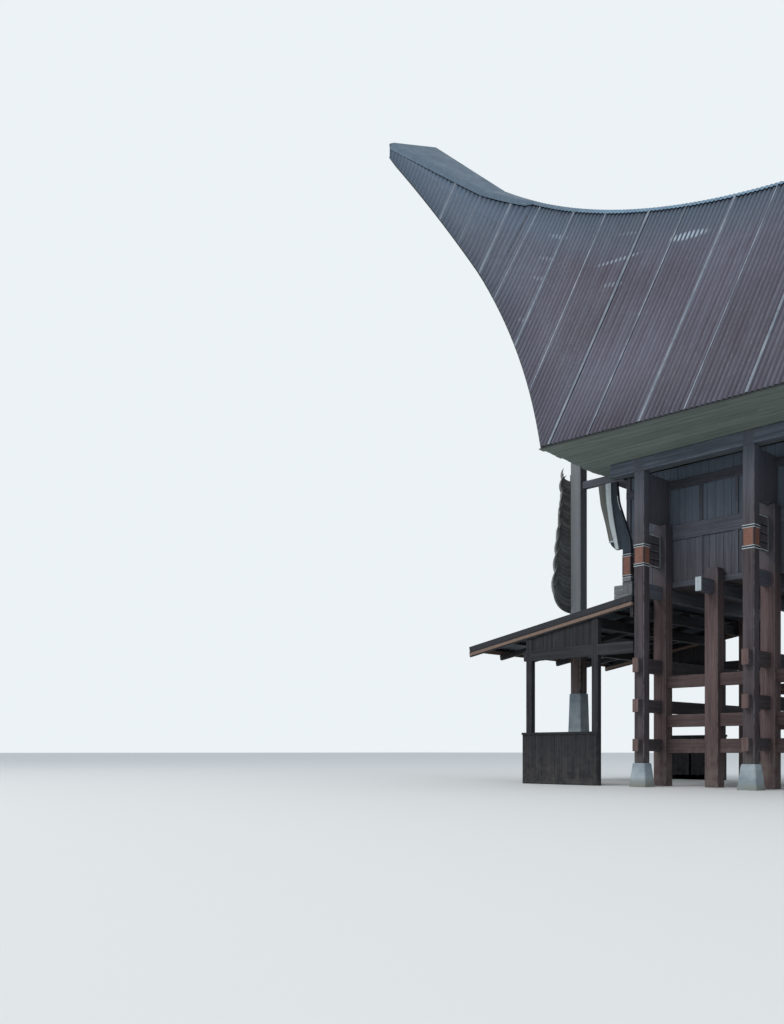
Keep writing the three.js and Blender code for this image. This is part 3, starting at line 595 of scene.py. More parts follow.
# The seams take the roof's hazed colour towards the tips: painted haze
SEAM = trim_paint("seam_paint", (108, 114, 124), (132, 138, 146), (96, 104, 116), share=0.7, patch_share=0.6)
SEAM_THIN = trim_paint("thin_seam_paint", (138, 146, 156), (166, 172, 180), (100, 106, 118),
                       share=0.8, patch_share=0.7)
# The cap takes a darker hazed colour towards the tips: painted haze
TRIM = trim_paint("trim_paint", (92, 120, 142), (112, 138, 156), (78, 94, 108), low=4.5, high=7.5)
PORCH_SHEET = trim_paint("porch_sheet_paint", (48, 58, 68), (66, 76, 86))
CONCRETE = concrete()
HORN = horn_stuff()

# Roof sheets

STEPS = 8
COLUMNS = np.linspace(-TIP_Y, TIP_Y, int(round(2 * TIP_Y / PITCH * STEPS)) + 1)
WAVE = np.cos(2 * np.pi * COLUMNS / PITCH)
LAPS = (0.36, 0.68)
LAP_STEP = 0.004
SHEET_DEPTH = 0.017
SHEET_WAVE = 0.009
SHEET_THICKNESS = 0.003
WIDE_SEAM, THIN_SEAM = 0.022, 0.008
SEAM_FOOT, SEAM_BEVEL = 0.012, 0.004


def corrugated_slope(side):
    """Corrugated sheets from the shoulder to the edge, lapped twice on the way down."""
    base = SHEET_DEPTH - SHEET_WAVE * WAVE
    length = slope_length(COLUMNS)
    rows = [(0.45 * cap_reach(COLUMNS) / length, LAP_STEP)]
    for lap in LAPS:
        rows += [(lap, 0.0), (lap + 0.0015, LAP_STEP)]
    rows.append((1.0, 0.0))
    upper, lower = (np.stack([slope_point(COLUMNS, share, base + extra + under) for share, extra in rows])
                    for under in (0.0, SHEET_THICKNESS))
    points, faces = shell(mirrored(upper, side), mirrored(lower, side))
    sheet_of = np.searchsorted(sorted(WIDE_SEAMS + THIN_SEAMS), COLUMNS)
    tones = rng.random((60, 4))
    grain = [np.stack([COLUMNS, share * length, (WAVE + 1) / 2], -1) for share, _ in rows]
    tone = [tones[sheet_of, (n + 1) // 2] for n in range(len(rows))]
    return points, faces, np.concatenate(grain * 2), np.concatenate(tone * 2)


def seam_strips(side):
    """Raised strips down the slope where the sheets meet: wide ones, and narrow ones between them."""
    work = Work()
    places = [(y, WIDE_SEAM, 0) for y in WIDE_SEAMS] + [(y, THIN_SEAM, 1) for y in THIN_SEAMS]
    for y, half, finish in places:
        length = float(slope_length(y))
        breaks = [0.8 * float(cap_reach(y)) / length, 1.0]
        if finish == 0 and length > 2.5:
            breaks[1:1] = LAPS
        for n, (start, stop) in enumerate(zip(breaks, breaks[1:])):
            shares = (start + 0.0012 * (n > 0), stop)
            low, high = ([mirrored(np.array([slope_point(np.array(y + across), share, depth)
                                             for share in shares]), side) for across in (-reach, reach)]
                         for depth, reach in ((SEAM_FOOT, half), (0.0015 * (n + 1), half - SEAM_BEVEL)))
            work.strip(low, high, finish)
    return work


for word, side in SIDES:
    sheet(f"roof_sheets_{word}", *corrugated_slope(side), ROOF, "roof_sheet", f"roof_{word}")
    piece(f"roof_seams_{word}", seam_strips(side), [SEAM, SEAM_THIN], "roof_sheet")


def cap_lines():
    """Cap over the ridge and the shoulders, waved like the sheets in the middle of the house."""
    wave = (1 - WAVE) / 2 * (1 - smooth(np.abs(COLUMNS), 6.2, 7.2))
    lift = 0.0102 - 0.018 * wave
    (sx, sz), (ex, ez) = roof_line(COLUMNS, 0.0)
    pitch = np.arctan2(sz - ez, ex - sx)
    turn = pitch - CAP_SLOPE
    top = ridge_z(COLUMNS)
    reach = cap_reach(COLUMNS)
    radius = reach / np.tan(turn / 2)
    start_x = sx - reach * math.cos(CAP_SLOPE)
    start_z = sz + reach * math.sin(CAP_SLOPE)
    lines = [(0 * sx + 0.004, top)]
    lines += [(f * start_x, top - f * start_x * CAP_TAN) for f in (0.35, 0.7)]
    for f in np.linspace(0, 1, 6):
        at = CAP_SLOPE + f * turn
        lines.append((start_x + radius * (np.sin(at) - math.sin(CAP_SLOPE)),
                      start_z - radius * (math.cos(CAP_SLOPE) - np.cos(at))))
    over = reach + np.minimum(0.5 * reach, 0.2 * slope_length(COLUMNS))
    lines.append((sx + over * np.cos(pitch) + 0.003, sz - over * np.sin(pitch)))
    right = [np.stack([x, COLUMNS, z + lift], -1) for x, z in lines]
    return np.stack([mirrored(line, -1) for line in right[::-1]] + right)


CAP_THICKNESS = 0.0045
cap_upper = cap_lines()
points, faces = shell(cap_upper, cap_upper - np.array([0, 0, CAP_THICKNESS]))
sheet("ridge_cap_sheets", points, faces, points[:, [1, 0, 2]], np.full(len(points), 0.5), TRIM,
      "trim_sheet", "ridge_cap")

# Boarding under the roof

SOFFIT_Y = np.concatenate([np.linspace(-TIP_Y, -CORNER_Y, 29), np.linspace(-CORNER_Y, CORNER_Y, 41)[1:-1],
                           np.linspace(CORNER_Y, TIP_Y, 29)])
FIRST_CORNER, LAST_CORNER = 28, 68
SOFFIT_Z = 4.9556
PLANK_FACE, PLANK_BACK = 0.021, 0.004


def soffit_lines(y):
    """Inner edge, knee and outer edge of the boarding under the roof at y, as rows of (x, y, z)."""
    _, (ex, ez) = roof_line(y, ROOF_THICKNESS)
    u = np.abs(y)
    turn = smooth(u, CORNER_Y, 7.2)
    back = np.sign(y) * smooth(u, CORNER_Y / 2, CORNER_Y) * (1 - turn) * 0.27
    drop = np.where(u <= CORNER_Y, ez - SOFFIT_Z, (CORNER_Z - SOFFIT_Z) * (1 - turn))
    inner = WALL_X + (ex - 1.0 - WALL_X) * np.minimum(1, turn * 1.5)
    knee = OUTER_FACE_X + ((inner + ex) / 2 - OUTER_FACE_X) * np.minimum(1, turn * 3)
    rows = [(inner, y - back, ez - drop), (knee, y - back, ez - drop), (ex, y, ez)]
    return np.stack([np.stack(row, -1) for row in rows])


SOFFIT_LINES = soffit_lines(SOFFIT_Y)
tangent = np.gradient(SOFFIT_LINES[2], axis=0)
tangent /= np.linalg.norm(tangent[:, 1:], axis=1)[:, None]
SOFFIT_DOWN = np.stack([0 * tangent[:, 1], tangent[:, 2], -tangent[:, 1]], -1)


def soffit_at(run, depth, part=slice(None)):
    """A line along the boarding: run is 0 at its inner edge, 1 at the knee and 2 at the roof's edge."""
    first = 0 if run <= 1 else 1
    t = run - first
    line = SOFFIT_LINES[first] * (1 - t) + SOFFIT_LINES[first + 1] * t + depth * SOFFIT_DOWN
    line[:, 1] = np.clip(line[:, 1], -TIP_Y, TIP_Y)
    return line[part]


def soffit_planks(side):
    """Planks of uneven length under the eaves, wider ones up the prows, and a dark backing over both, which
    is painted shade seen through the gaps.
    """
    work = Work()

    def plank(start, end, part, bottom, top, finish=0, past=(0, 0)):
        def line(run, depth):
            points = mirrored(soffit_at(run, depth, part), side)
            points[0, 1] -= past[0]
            points[-1, 1] += past[1]
            return points
        work.between(line, (start, end), (bottom, top), finish)

    for first, number in ((0.0, 7), (1.0, 9)):
        for n in range(number):
            start = first + n / number
            end = first + (n + 1) / number - 0.005
            shift = int(rng.integers(-4, 5))
            cuts = [FIRST_CORNER, 41 + shift, 55 + shift, LAST_CORNER]
            for i in range(3):
                plank(start + 0.004, end, slice(cuts[i], cuts[i + 1] + 1),
                      PLANK_FACE - 0.002 * rng.random(), PLANK_BACK,
                      past=(0.05 * rng.random() * (i == 0), 0.05 * rng.random() * (i == 2)))
    for part in (slice(0, FIRST_CORNER + 1), slice(LAST_CORNER, None)):
        for first in (0.0, 1.0):
            for n in range(3):
                start = first + n / 3
                plank(start + 0.006, start + 1 / 3 - 0.006, part, PLANK_FACE - 0.002 * rng.random(),
                      PLANK_BACK)
    # Dark backing behind the planks: painted shade in the gaps between them
    plank(0.01, 1.0, slice(None), 0.003, 0.0004, 1)
    plank(1.0, 1.99, slice(None), 0.003, 0.0004, 1)
    return work


def edge_battens(side):
    """A batten under the sheets along their edge, slats under those of the prows, a wedge between the
    roof's edge and the boarding, and a strip along the boarding."""
    work = Work()
    along = np.linspace(-TIP_Y, TIP_Y, 121)
    length = slope_length(along)

    def band(start, end, bottom, top, finish, part=slice(None)):
        def line(down, depth):
            return mirrored(slope_point(along[part], 1 - down / length[part], depth), side)
        work.between(line, (start, end), (bottom, top), finish)

    band(0.075, 0.0, 0.0395, 0.0275, 0)
    for n in range(22):
        start = 1.02 + 0.22 * n
        for end in SIGNS:
            inside = np.nonzero((end * along > GABLE_Y) & (length > start + 0.20))[0]
            if len(inside) > 1:
                band(start + 0.20, start, 0.036, 0.0275, 1, slice(inside[0], inside[-1] + 1))
    low = [mirrored(soffit_at(run, 0.0002), side) for run in (1.90, 1.993)]
    high = [mirrored(slope_point(SOFFIT_Y, 1 - down / slope_length(SOFFIT_Y), 0.0397), side)
            for down in (0.07, 0.004)]
    work.strip(low, high)
    work.between(lambda run, depth: mirrored(soffit_at(run, depth), side), (1.9945, 1.9995), (0.0218, 0.003))
    return work


for word, side in SIDES:
    piece(f"soffit_planks_{word}", soffit_planks(side), [SOFFIT_WOOD, DARK_PAINT_AND_SHADE], "soffit_plank", f"soffit_{word}")
    piece(f"roof_battens_{word}", edge_battens(side), [BATTEN_WOOD, EDGE_WOOD], "roof_sheet")

# Ends of the roof


def end_cap_boards(end):
    """Two boards that meet under the ridge at the tip, with a strip along both edges."""
    work = Work()
    top = float(ridge_z(TIP_Y)) - 0.006
    x0 = 0.0015
    inner, joint, outer = TIP_Y + CLEAR, TIP_Y + 0.0328, TIP_Y + 0.0448
    for upper, lower, y0, y1, x1, finish in ((0.002, 0.298, inner, joint, 1.328, 0),
                                             (0.004, 0.045, joint, outer, 1.326, 1),
                                             (0.250, 0.296, joint, outer, 1.326, 1)):
        for side in SIGNS:
            ring = [(x0, upper), (x1, upper), (x1, lower), (x0, lower)]
            work.sweep([[(side * x, end * y, top - x * CAP_TAN - drop) for x, drop in ring]
                        for y in (y0, y1)], finish, turn=(0, 2, 1))
    return work


def gable_boards(end):
    """Upright boards up to the slope, with rails across and boards along the slopes."""
    work = Work()
    inner = GABLE_Y - 0.045
    (sx, sz), (ex, ez) = ((float(x), float(z)) for x, z in roof_line(inner, 0.044))
    low, reach = 4.9303, 1.23
    top_slope = 0.364
    strip_y = end * (GABLE_Y - 0.012)

    def roof_at(x):
        return sz + (x - sx) * (ez - sz) / (ex - sx) if x > sx else sz + (sx - x) * top_slope

    for x0, x1 in boards(-reach, reach, 0.135, 0.03):
        y0 = inner + 0.004 + 0.004 * rng.random()
        y1 = GABLE_Y - 0.020 + 0.004 * rng.random()
        corners = [(x0, low), (x1, low), (x1, roof_at(abs(x1)) - 0.006), (x0, roof_at(abs(x0)) - 0.006)]
        work.sweep([[(x, end * y, z) for x, z in corners] for y in (y0, y1)], turn=(2, 0, 1))
    for z in (4.932, 5.75, 6.60, 7.45):
        half = min(reach, sx + (z + 0.13 - sz) * (ex - sx) / (ez - sz)) - 0.005
        work.corner(1, end, -half, half, GABLE_Y - 0.022, GABLE_Y, z, z + 0.12, 0.006, 1)
    for side in SIGNS:
        work.stick((side * (reach - 0.03), strip_y, roof_at(reach) - 0.10),
                   (side * (sx + 0.01), strip_y, sz - 0.14), 0.022, 0.10, (0, 1, 0), 0.005, 1)
        work.corner(side, end, reach - 0.10, reach - 0.001, GABLE_Y - 0.022, GABLE_Y - 0.004,
                    low, roof_at(reach) - 0.02, 0.006, 1)
    return work


def ridge_beam_rings():
    along = np.linspace(-9.29, 9.29, 121)
    top = ridge_z(along) - RIDGE_BEAM_DROP
    half, depth, cut = RIDGE_BEAM_HALF, RIDGE_BEAM_DEPTH, 0.012
    ring = [(-half, depth - cut), (-half, 0), (half, 0), (half, depth - cut), (half - cut, depth),
            (cut - half, depth)]
    return np.stack([np.stack([np.full_like(along, x), along, top - drop], -1) for x, drop in ring], 1)


for word, end in ENDS:
    piece(f"{word}_end_boards", end_cap_boards(end), [EDGE_WOOD, PLATE_WOOD], "trim_sheet",
          f"{word}_end_cap")
for word, end in ENDS:
    piece(f"{word}_gable_boards", gable_boards(end), [GABLE_WOOD, BEAM_WOOD], "wall_board",
          f"{word}_gable")

work = Work()
work.sweep(ridge_beam_rings())
piece("ridge_beam_timber", work, [BEAM_WOOD], "beam_timber", "ridge_beam")

# Posts, ties and plates


def collar(work, x0, x1, y0, y1, low, high):
    """Painted band round a post: an orange field in a dark frame between white and dark rings."""
    levels = [low, low + 0.012, low + 0.034, low + 0.044, high - 0.044, high - 0.034, high - 0.012, high]
    rings = [(0.0078, 1), (0.005, 0), (0.0072, 1), (0.003, 2), (0.0072, 1), (0.005, 0), (0.0078, 1)]
    for z0, z1, (proud, finish) in zip(levels, levels[1:], rings):
        work.block(x0 - proud, x1 + proud, y0 - proud, y1 + proud, z0, z1, 0.002, finish)
    for sx, x in ((-1, x0), (1, x1)):
        for sy, y in ((-1, y0), (1, y1)):
            work.block(x - sx * 0.013, x + sx * 0.0058, y - sy * 0.013, y + sy * 0.0058,
                       levels[3], levels[4], 0.002, 0)


collars = Work()
for n, y in enumerate(ROWS):
    work = Work()
    half = POST / 2
    for side in SIGNS:
        x = side * POST_X
        outer = side * (POST_BACK_X + 0.004)
        inner = side * (INNER_FACE_X + CLEAR)
        wall = side * (WALL_X + CLEAR)
        batten = inner + side * 0.05
        work.post(x, y, half, 0.36, 4.7396, 0.009)
        collar(collars, x - half, x + half, y - half, y + half, *COLLAR)
        work.rail(outer, wall, y, 0.0295, 4.036, 4.7396, 0.005)
        work.rail(outer, wall, y, 0.036, 4.02, 4.046)
        work.rail(inner, outer, y, 0.027, 3.345, 3.835)
        collars.rail(inner, batten, y, 0.03, 3.34, 3.84, 0.003, 3)
        for z in (3.352, 3.822):
            collars.rail(batten, outer, y, 0.0285, z - 0.006, z + 0.006, 0.001, 1)
        for z in (3.47, 3.59, 3.71):
            collars.rail(batten, outer, y, 0.0285, z - 0.004, z + 0.004, 0.001, 3)
            collars.rail(batten, outer, y, 0.0280, z - 0.030, z - 0.0042, 0.001, 0)
    for low, high in TIES:
        work.rail(-TIE_END_X, TIE_END_X, y, 0.0475, low, high, 0.008)
        for side in SIGNS:
            work.rail(side * (TIE_END_X - 0.0015), side * (TIE_END_X + 0.005), y, 0.0472,
                      low + 0.0003, high - 0.0003, 0.003, 1)
    piece(f"cross_frame_{n + 1}_timber", work, [RED_WOOD, END_WOOD], "post_timber", f"cross_frame_{n + 1}")
piece("post_collars", collars, [DARK_PAINT_AND_SHADE, WHITE, ORANGE, PALE_WOOD], "post_timber")

for word, side in SIDES:
    work = Work()
    x = side * INNER_X
    for n, y in enumerate(HALF_ROWS):
        work.post(x, y, INNER_POST / 2, 0.0, INNER_TOPS[n % 2], 0.011, 0, 0.55 + 0.4 * rng.random())
    for low, high in INNER_RAILS:
        work.rail(x - 0.045, x + 0.045, 0, 3.505, low, high, 0.007, 0, 0.2 + 0.3 * rng.random())
    piece(f"inner_frame_{word}_timber", work, [FRAME_WOOD], "post_timber", f"inner_frame_{word}")

    work = Work()
    for y0, y1, tone in ((-3.91, -0.8515, 0.5), (-0.8485, 2.548, 0.42), (2.551, 3.91, 0.55)):
        work.corner(side, 1, POST_BACK_X, OUTER_FACE_X, y0, y1, *PLATE, 0.010, 0, tone)
    for y in ROWS:
        work.rail(side * (OUTER_FACE_X - 0.04), side * (OUTER_FACE_X + 0.0015), y, POST / 2,
                  PLATE[0] + CLEAR, PLATE[1] - CLEAR, 0.006, 1)
    piece(f"wall_plate_{word}_timber", work, [PLATE_WOOD, RED_WOOD], "beam_timber", f"wall_plate_{word}")

# Walls and floor

WALL_BANDS = [(3.15, 3.80), (4.03, 4.59), (4.72, 4.929)]
WALL_RAILS = [(3.0654, 3.15), (3.80, 4.03), (4.59, 4.72)]
STUD_SPACING = 0.5667


def fill_boards(work, plane, face, low, high, start, end, near, far):
    """Upright boards from start to end, between the depths near and far behind the wall's face."""
    way = np.sign(face)
    for a, b in boards(start, end, 0.10, 0.05):
        depths = (face - near * way - 0.003 * rng.random() * way, face - far * way)
        sides = (*depths, a, b) if plane == "x" else (a, b, *depths)
        work.block(*sides, low, high, 0.003)


for word, side in SIDES:
    work = Work()
    face = side * WALL_X
    reach = END_WALL_Y
    for low, high in WALL_BANDS:
        fill_boards(work, "x", face, low, high, -reach + 0.06, reach - 0.06, 0.027, 0.049)
    for low, high in WALL_RAILS:
        for y0, y1 in ((-reach, -1.2765), (-1.2735, 1.2735), (1.2765, reach)):
            work.block(face, face - side * 0.05, y0, y1, low, high, 0.006, 1)
    for n in range(-7, 8):
        half = 0.045 if n % 3 == 0 else 0.026
        for low, high in WALL_BANDS[:2]:
            work.rail(face - side * 0.008, face - side * 0.045, n * STUD_SPACING, half, low, high, 0.004, 1)
    for end in SIGNS:
        work.corner(side, end, WALL_X - 0.003, WALL_X - 0.048, reach - 0.002, reach - 0.08,
                    3.067, 4.927, 0.006, 1)
    piece(f"side_wall_{word}_boards", work, [WALL_WOOD, BEAM_WOOD], "wall_board", f"side_wall_{word}")

work = Work()
for y in HALF_ROWS:
    work.rail(-1.889, 1.889, y, 0.0475, 2.86, 3.065, 0.006)
    for side in SIGNS:
        work.rail(side * 1.872, side * 1.890, y, 0.0473, 2.8602, 3.0648, 0.003, 1)
for y0, y1 in boards(-4.078, 4.078, 0.16, 0.05, slack=0.008):
    work.block(-1.238, 1.238, y0, y1, 3.0652, 3.105, 0.003, 2)
for side in SIGNS:
    for end in SIGNS:
        work.corner(side, end, 1.19, 1.35, 3.985, 4.32, 2.985, 3.064, 0.008, 3)
        work.corner(side, end, 1.19, 1.35, 4.1315, 4.32, 3.0642, 3.215, 0.008, 3)
        work.corner(side, end, RIB_X, 1.35, 3.985, 4.1312, 3.0642, 3.215, 0.008, 3)
piece("floor_timber", work, [BEAM_WOOD, CREAM, FRAME_WOOD, PALE_WOOD], "beam_timber", "floor")

# Middle, height and width of the curved corner board, then height and edge of the pale strip on it
RIB_Y, RIB_Z, RIB_WIDTH = np.array([
    [4.07, 3.2153, 0.15], [4.07, 3.72, 0.15], [4.175, 3.83, 0.34], [4.215, 3.95, 0.39],
    [4.295, 4.23, 0.36], [4.40, 4.56, 0.34], [4.445, 4.93, 0.35]]).T
STRIP_Z, STRIP_Y = np.array([[3.81, 4.219], [3.95, 4.245], [4.23, 4.304], [4.60, 4.360], [4.93, 4.370]]).T


def rib_boards(work, side, end):
    """Curved corner board with a pale strip down its middle and a painted foot; its body, the part behind the
    strip and the block above the foot are dark as painted shade.
    """
    heights = np.linspace(3.80, 4.8985, 15)
    middle = np.interp(heights, RIB_Z, RIB_Y)
    width = np.interp(heights, RIB_Z, RIB_WIDTH)
    front, back = middle + width / 2 - 0.002, middle - width / 2 + 0.002
    right = np.interp(heights, STRIP_Z, STRIP_Y)
    left = right + np.interp(heights, [3.8, 4.2, 4.93], [0.060, 0.088, 0.095])

    def layer(y0, y1, x0, x1, finish, part=slice(None)):
        def line(y, x):
            return np.stack([np.full_like(y, side * x), end * y, heights], -1)[part]
        work.between(line, (y0, y1), (x0, x1), finish)

    # Body of the board in dark wood: painted shade on its shaded side
    layer(front, back, RIB_X, RIB_FACE_X, 5)
    layer(front, left, RIB_FACE_X, 1.354, 4, slice(2, None))
    layer(left, right, RIB_FACE_X, 1.368, 1)
    # Part behind the pale strip in dark wood: painted shade
    layer(right - 0.004, back, RIB_FACE_X, 1.350, 5)
    layer(back + 0.012, back, 1.350, 1.354, 1, slice(8, 12))
    work.corner(side, end, RIB_FACE_X, 1.358, front[2] - 0.001, left[2] + 0.002,
                heights[2] - 0.028, heights[2] - 0.001, 0.002, 3)
    collar(work, *sorted((side * 1.2985, side * 1.3615)), *sorted((end * 3.998, end * 4.146)), 3.32, 3.70)
    work.corner(side, end, RIB_X, 1.3695, 3.995, 4.150, 3.255, 3.3195, 0.006, 6)
    work.corner(side, end, RIB_X, 1.3498, 3.985, 4.165, 3.2153, 3.2547, 0.006, 6)
    # Block above the foot in dark wood: painted shade
    work.corner(side, end, 1.2985, 1.3615, 4.000, 4.150, 3.7005, 3.80, 0.004, 5)


def end_wall(end):
    """Boards between rails, with a barred window."""
    work = Work()
    face = END_WALL_Y
    reach = 1.2395
    sill, head, half = 3.90, 4.52, 0.31
    bar = 0.008
    for low, high in ((3.19, 3.80), (3.80, sill), (4.61, 4.899)):
        fill_boards(work, "y", end * face, low, high, -reach + 0.08, reach - 0.08, 0.018, 0.046)
    for side in SIGNS:
        start, stop = sorted((side * (half + 0.05), side * (reach - 0.08)))
        fill_boards(work, "y", end * face, sill, 4.61, start, stop, 0.018, 0.046)
        work.corner(side, end, reach - 0.001, reach - 0.09, face - 0.003, face - 0.048,
                    3.107, 4.897, 0.006, 1)
        work.corner(side, end, half, half + 0.06, face - 0.002, face - 0.048,
                    sill - 0.05, head + 0.06, 0.005, 1)
    for low, high in ((3.1053, 3.19), (3.76, 3.85), (4.60, 4.68)):
        work.corner(1, end, -reach, reach, face, face - 0.05, low, high, 0.006, 1)
    for low, high in ((sill - 0.045, sill), (head, head + 0.08)):
        work.corner(1, end, -half - 0.07, half + 0.07, face - 0.001, face - 0.049, low, high, 0.005, 1)
    work.corner(1, end, -0.022, 0.022, face - 0.008, face - 0.044, sill, head, 0.004, 1)
    for side in SIGNS:
        for n in range(1, 4):
            x, y = side * (0.022 + n * 0.072), end * (face - 0.026)
            work.sweep([[(x + bar * math.cos(t), y + bar * math.sin(t), z)
                         for t in np.arange(8) * math.pi / 4] for z in (sill, head)], 1)
    for x0, x1 in ((-1.238, -0.45), (-0.447, 0.42), (0.423, 1.238)):
        work.corner(1, end, x0, x1, face - 0.001, GABLE_Y, 4.9003, 4.9298, 0.004, 1)
    for side in SIGNS:
        work.corner(side, end, 1.2405, 1.349, face + 0.0015, GABLE_Y, 4.9003, 4.9298, 0.004, 1)
    return work


for word, end in ENDS:
    piece(f"{word}_wall_boards", end_wall(end), [WALL_WOOD, BEAM_WOOD], "wall_board", f"{word}_wall")
    work = Work()
    for side in SIGNS:
        rib_boards(work, side, end)
    piece(f"{word}_corner_boards", work, [DARK_PAINT_AND_SHADE, WHITE, ORANGE, CREAM, RIB_WOOD, PAINTED_SHADE_WOOD, PALE_WOOD],
          "wall_board")

# Plinths


def cast_block(x, y, foot, head, high):
    """A tapered concrete block with worn corners and a slightly uneven face."""
    rounding = 0.012
    across = (-1.0, -0.6, -0.2, 0.2, 0.6, 1.0)
    heights = [0, 0.004, *np.linspace(0.03, high - rounding, 7), high - rounding * 0.4, high]
    insets = [0.0] * 9 + [rounding * 0.3, rounding * 0.9]
    rings = []
    for z, inset, dents in zip(heights, insets, rng.uniform(0, 1, (len(heights), 4 * len(across)))):
        reach = foot / 2 + (head - foot) / 2 * z / high - inset
        ring = []
        for j, dent in enumerate(dents):
            u, v = across[j % 6] * (reach - rounding), reach - 0.0025 * dent
            p, q = [(u, -v), (v, u), (-u, v), (-v, -u)][j // 6]
            ring.append((x + p, y + q, z))
        rings.append(ring)
    work = Work()
    work.sweep(rings)
    return work


for n, y in enumerate(ROWS):
    for word, side in SIDES:
        piece(f"plinth_{word}_{n + 1}_cast", cast_block(side * POST_X, y, 0.285, 0.205, PLINTH_HEIGHT),
              [CONCRETE], "concrete", f"plinth_{word}_{n + 1}")
for word, end in ENDS:
    piece(f"{word}_pole_plinth_cast", cast_block(0, end * POLE_Y, 0.33, 0.25, POLE_FOOT), [CONCRETE],
          "concrete", f"{word}_pole_plinth")

# Ridge poles and horns

for word, end in ENDS:
    inner = POLE_Y - POLE / 2
    top = float(ridge_z(inner)) - RIDGE_BEAM_DROP - RIDGE_BEAM_DEPTH - 0.0006
    work = Work()
    work.post(0, end * POLE_Y, POLE / 2, POLE_FOOT + 0.0003, top, 0.013, 0, 0.7)
    piece(f"{word}_pole_timber", work, [POLE_WOOD], "post_timber", f"{word}_pole")
    work = Work()
    work.corner(1, end, -0.055, 0.055, inner - 0.0005, GABLE_Y + 0.0005, 5.35, 5.48, 0.008, 0, 0.6)
    piece(f"{word}_pole_beam_timber", work, [BEAM_WOOD], "beam_timber", f"{word}_pole_beam")

HORN_PAIRS = 30
work = Work()
back = -POLE_Y - POLE / 2 - CLEAR
work.block(-0.055, 0.055, back - 0.05, back, 3.05, 5.66, 0.006, 1)
for n in range(HORN_PAIRS):
    share = n / (HORN_PAIRS - 1)
    for side in SIGNS:
        spread = (0.52 - 0.28 * share) * (1 - 0.24 * rng.random())
        swing = 0.68 + 0.20 * (rng.random() - 0.5)
        rings = []
        for t in np.linspace(0, 1, 13):
            angle = t * swing * math.pi
            centre = np.array([side * (0.010 + spread * math.sin(angle)),
                               back - 0.062 - 0.045 * math.sin(t * math.pi),
                               3.15 + 2.35 * share + spread * 0.8 * (1 - math.cos(angle))])
            up = np.cross([0, 1, 0], [side * math.cos(angle), 0, math.sin(angle)])
            radius = 0.056 * (1 - 0.93 * t**1.2) * (1 + 0.03 * math.sin(t * 60))
            rings.append([centre + radius * (math.cos(a) * np.array([0, 1, 0]) + math.sin(a) * up)
                          for a in np.arange(12) * math.pi / 6])
        work.sweep(rings, smooth=True)
piece("horn_stack_pairs", work, [HORN, BEAM_WOOD], "horn", "horn_stack")

# Porch

PORCH_BACK_Y = 3.505
PORCH_FRONT_Y = 6.76
PORCH_BACK_Z = 2.9
PORCH_FRONT_Z = 2.365
PORCH_POSTS_Y = (4.19, 5.48)
PORCH_POST = 0.11
PORCH_POST_X = OUTER_FACE_X - PORCH_POST / 2
PORCH_EDGE_X = 2.12
PORCH_BEAM = (2.03, 2.20)
PORCH_BEAM_DROP = 0.1703


def porch_z(y):
    share = (y - PORCH_BACK_Y) / (PORCH_FRONT_Y - PORCH_BACK_Y)
    return PORCH_BACK_Z + (PORCH_FRONT_Z - PORCH_BACK_Z) * share


columns = np.linspace(-PORCH_EDGE_X, PORCH_EDGE_X, int(round(2 * PORCH_EDGE_X / PITCH * STEPS)) + 1)
wave = 0.008 * np.cos(2 * np.pi * columns / PITCH)
upper = np.stack([np.stack([columns, np.full_like(columns, -y), porch_z(y) - 0.010 + wave - extra], -1)
                  for y, extra in ((PORCH_BACK_Y + 0.001, 0.003), (5.2, 0.0), (5.205, 0.003),
                                   (PORCH_FRONT_Y, 0.0))])
points, faces = shell(upper, upper - np.array([0, 0, SHEET_THICKNESS]))
sheet("porch_roof_sheets", points, faces, points, np.full(len(points), 0.5), PORCH_SHEET,
      "porch_sheet", "porch_roof")

work = Work()
front, back = PORCH_FRONT_Y, PORCH_BACK_Y + 0.002
for side in SIGNS:
    work.stick((side * 2.112, -back, porch_z(back) - 0.0448),
               (side * 2.112, -front + 0.002, porch_z(front) - 0.0448), 0.025, 0.087, (1, 0, 0), 0.003, 2)
work.block(-PORCH_EDGE_X, PORCH_EDGE_X, -front + 0.026, -front + 0.001, porch_z(front) - 0.088,
           porch_z(front) - 0.024, 0.004, 1)
for y in np.linspace(back + 0.15, front - 0.12, 7):
    work.rail(-2.098, 2.098, -y, 0.025, porch_z(y) - 0.066, porch_z(y) - 0.024, 0.003)
piece("porch_roof_boards", work, [PORCH_WOOD, FASCIA, DARK_PAINT_AND_SHADE], "porch_sheet")

work = Work()
for side in SIGNS:
    x = side * PORCH_POST_X
    for y in PORCH_POSTS_Y:
        work.post(x, -y, PORCH_POST / 2, 0.0, porch_z(y) - 0.20, 0.007)
    work.block(x - 0.05, x + 0.05, -5.589, -3.5055, *PORCH_BEAM, 0.006)
    low = PORCH_BEAM[1] + CLEAR
    for y0, y1 in boards(PORCH_POSTS_Y[0] + 0.0552, PORCH_POSTS_Y[1] - 0.0552, 0.11, 0.05, gap=0.001):
        corners = [(y0, low), (y1, low), (y1, porch_z(y1 + 0.001) - 0.182), (y0, porch_z(y0) - 0.182)]
        work.sweep([[(side * x, -y, z) for y, z in corners] for x in (2.050, 2.064 + 0.003 * rng.random())],
                   tone=0.4 + 0.1 * rng.random(), turn=(2, 1, 0))
for y in PORCH_POSTS_Y:
    top = porch_z(y) - PORCH_BEAM_DROP
    work.rail(-PORCH_POST_X - 0.052, PORCH_POST_X + 0.052, -y, 0.05, top - 0.16, top, 0.006)
top = porch_z(3.555) - PORCH_BEAM_DROP
work.block(-OUTER_FACE_X, OUTER_FACE_X, -3.5555, -3.5055, top - 0.16, top, 0.005)
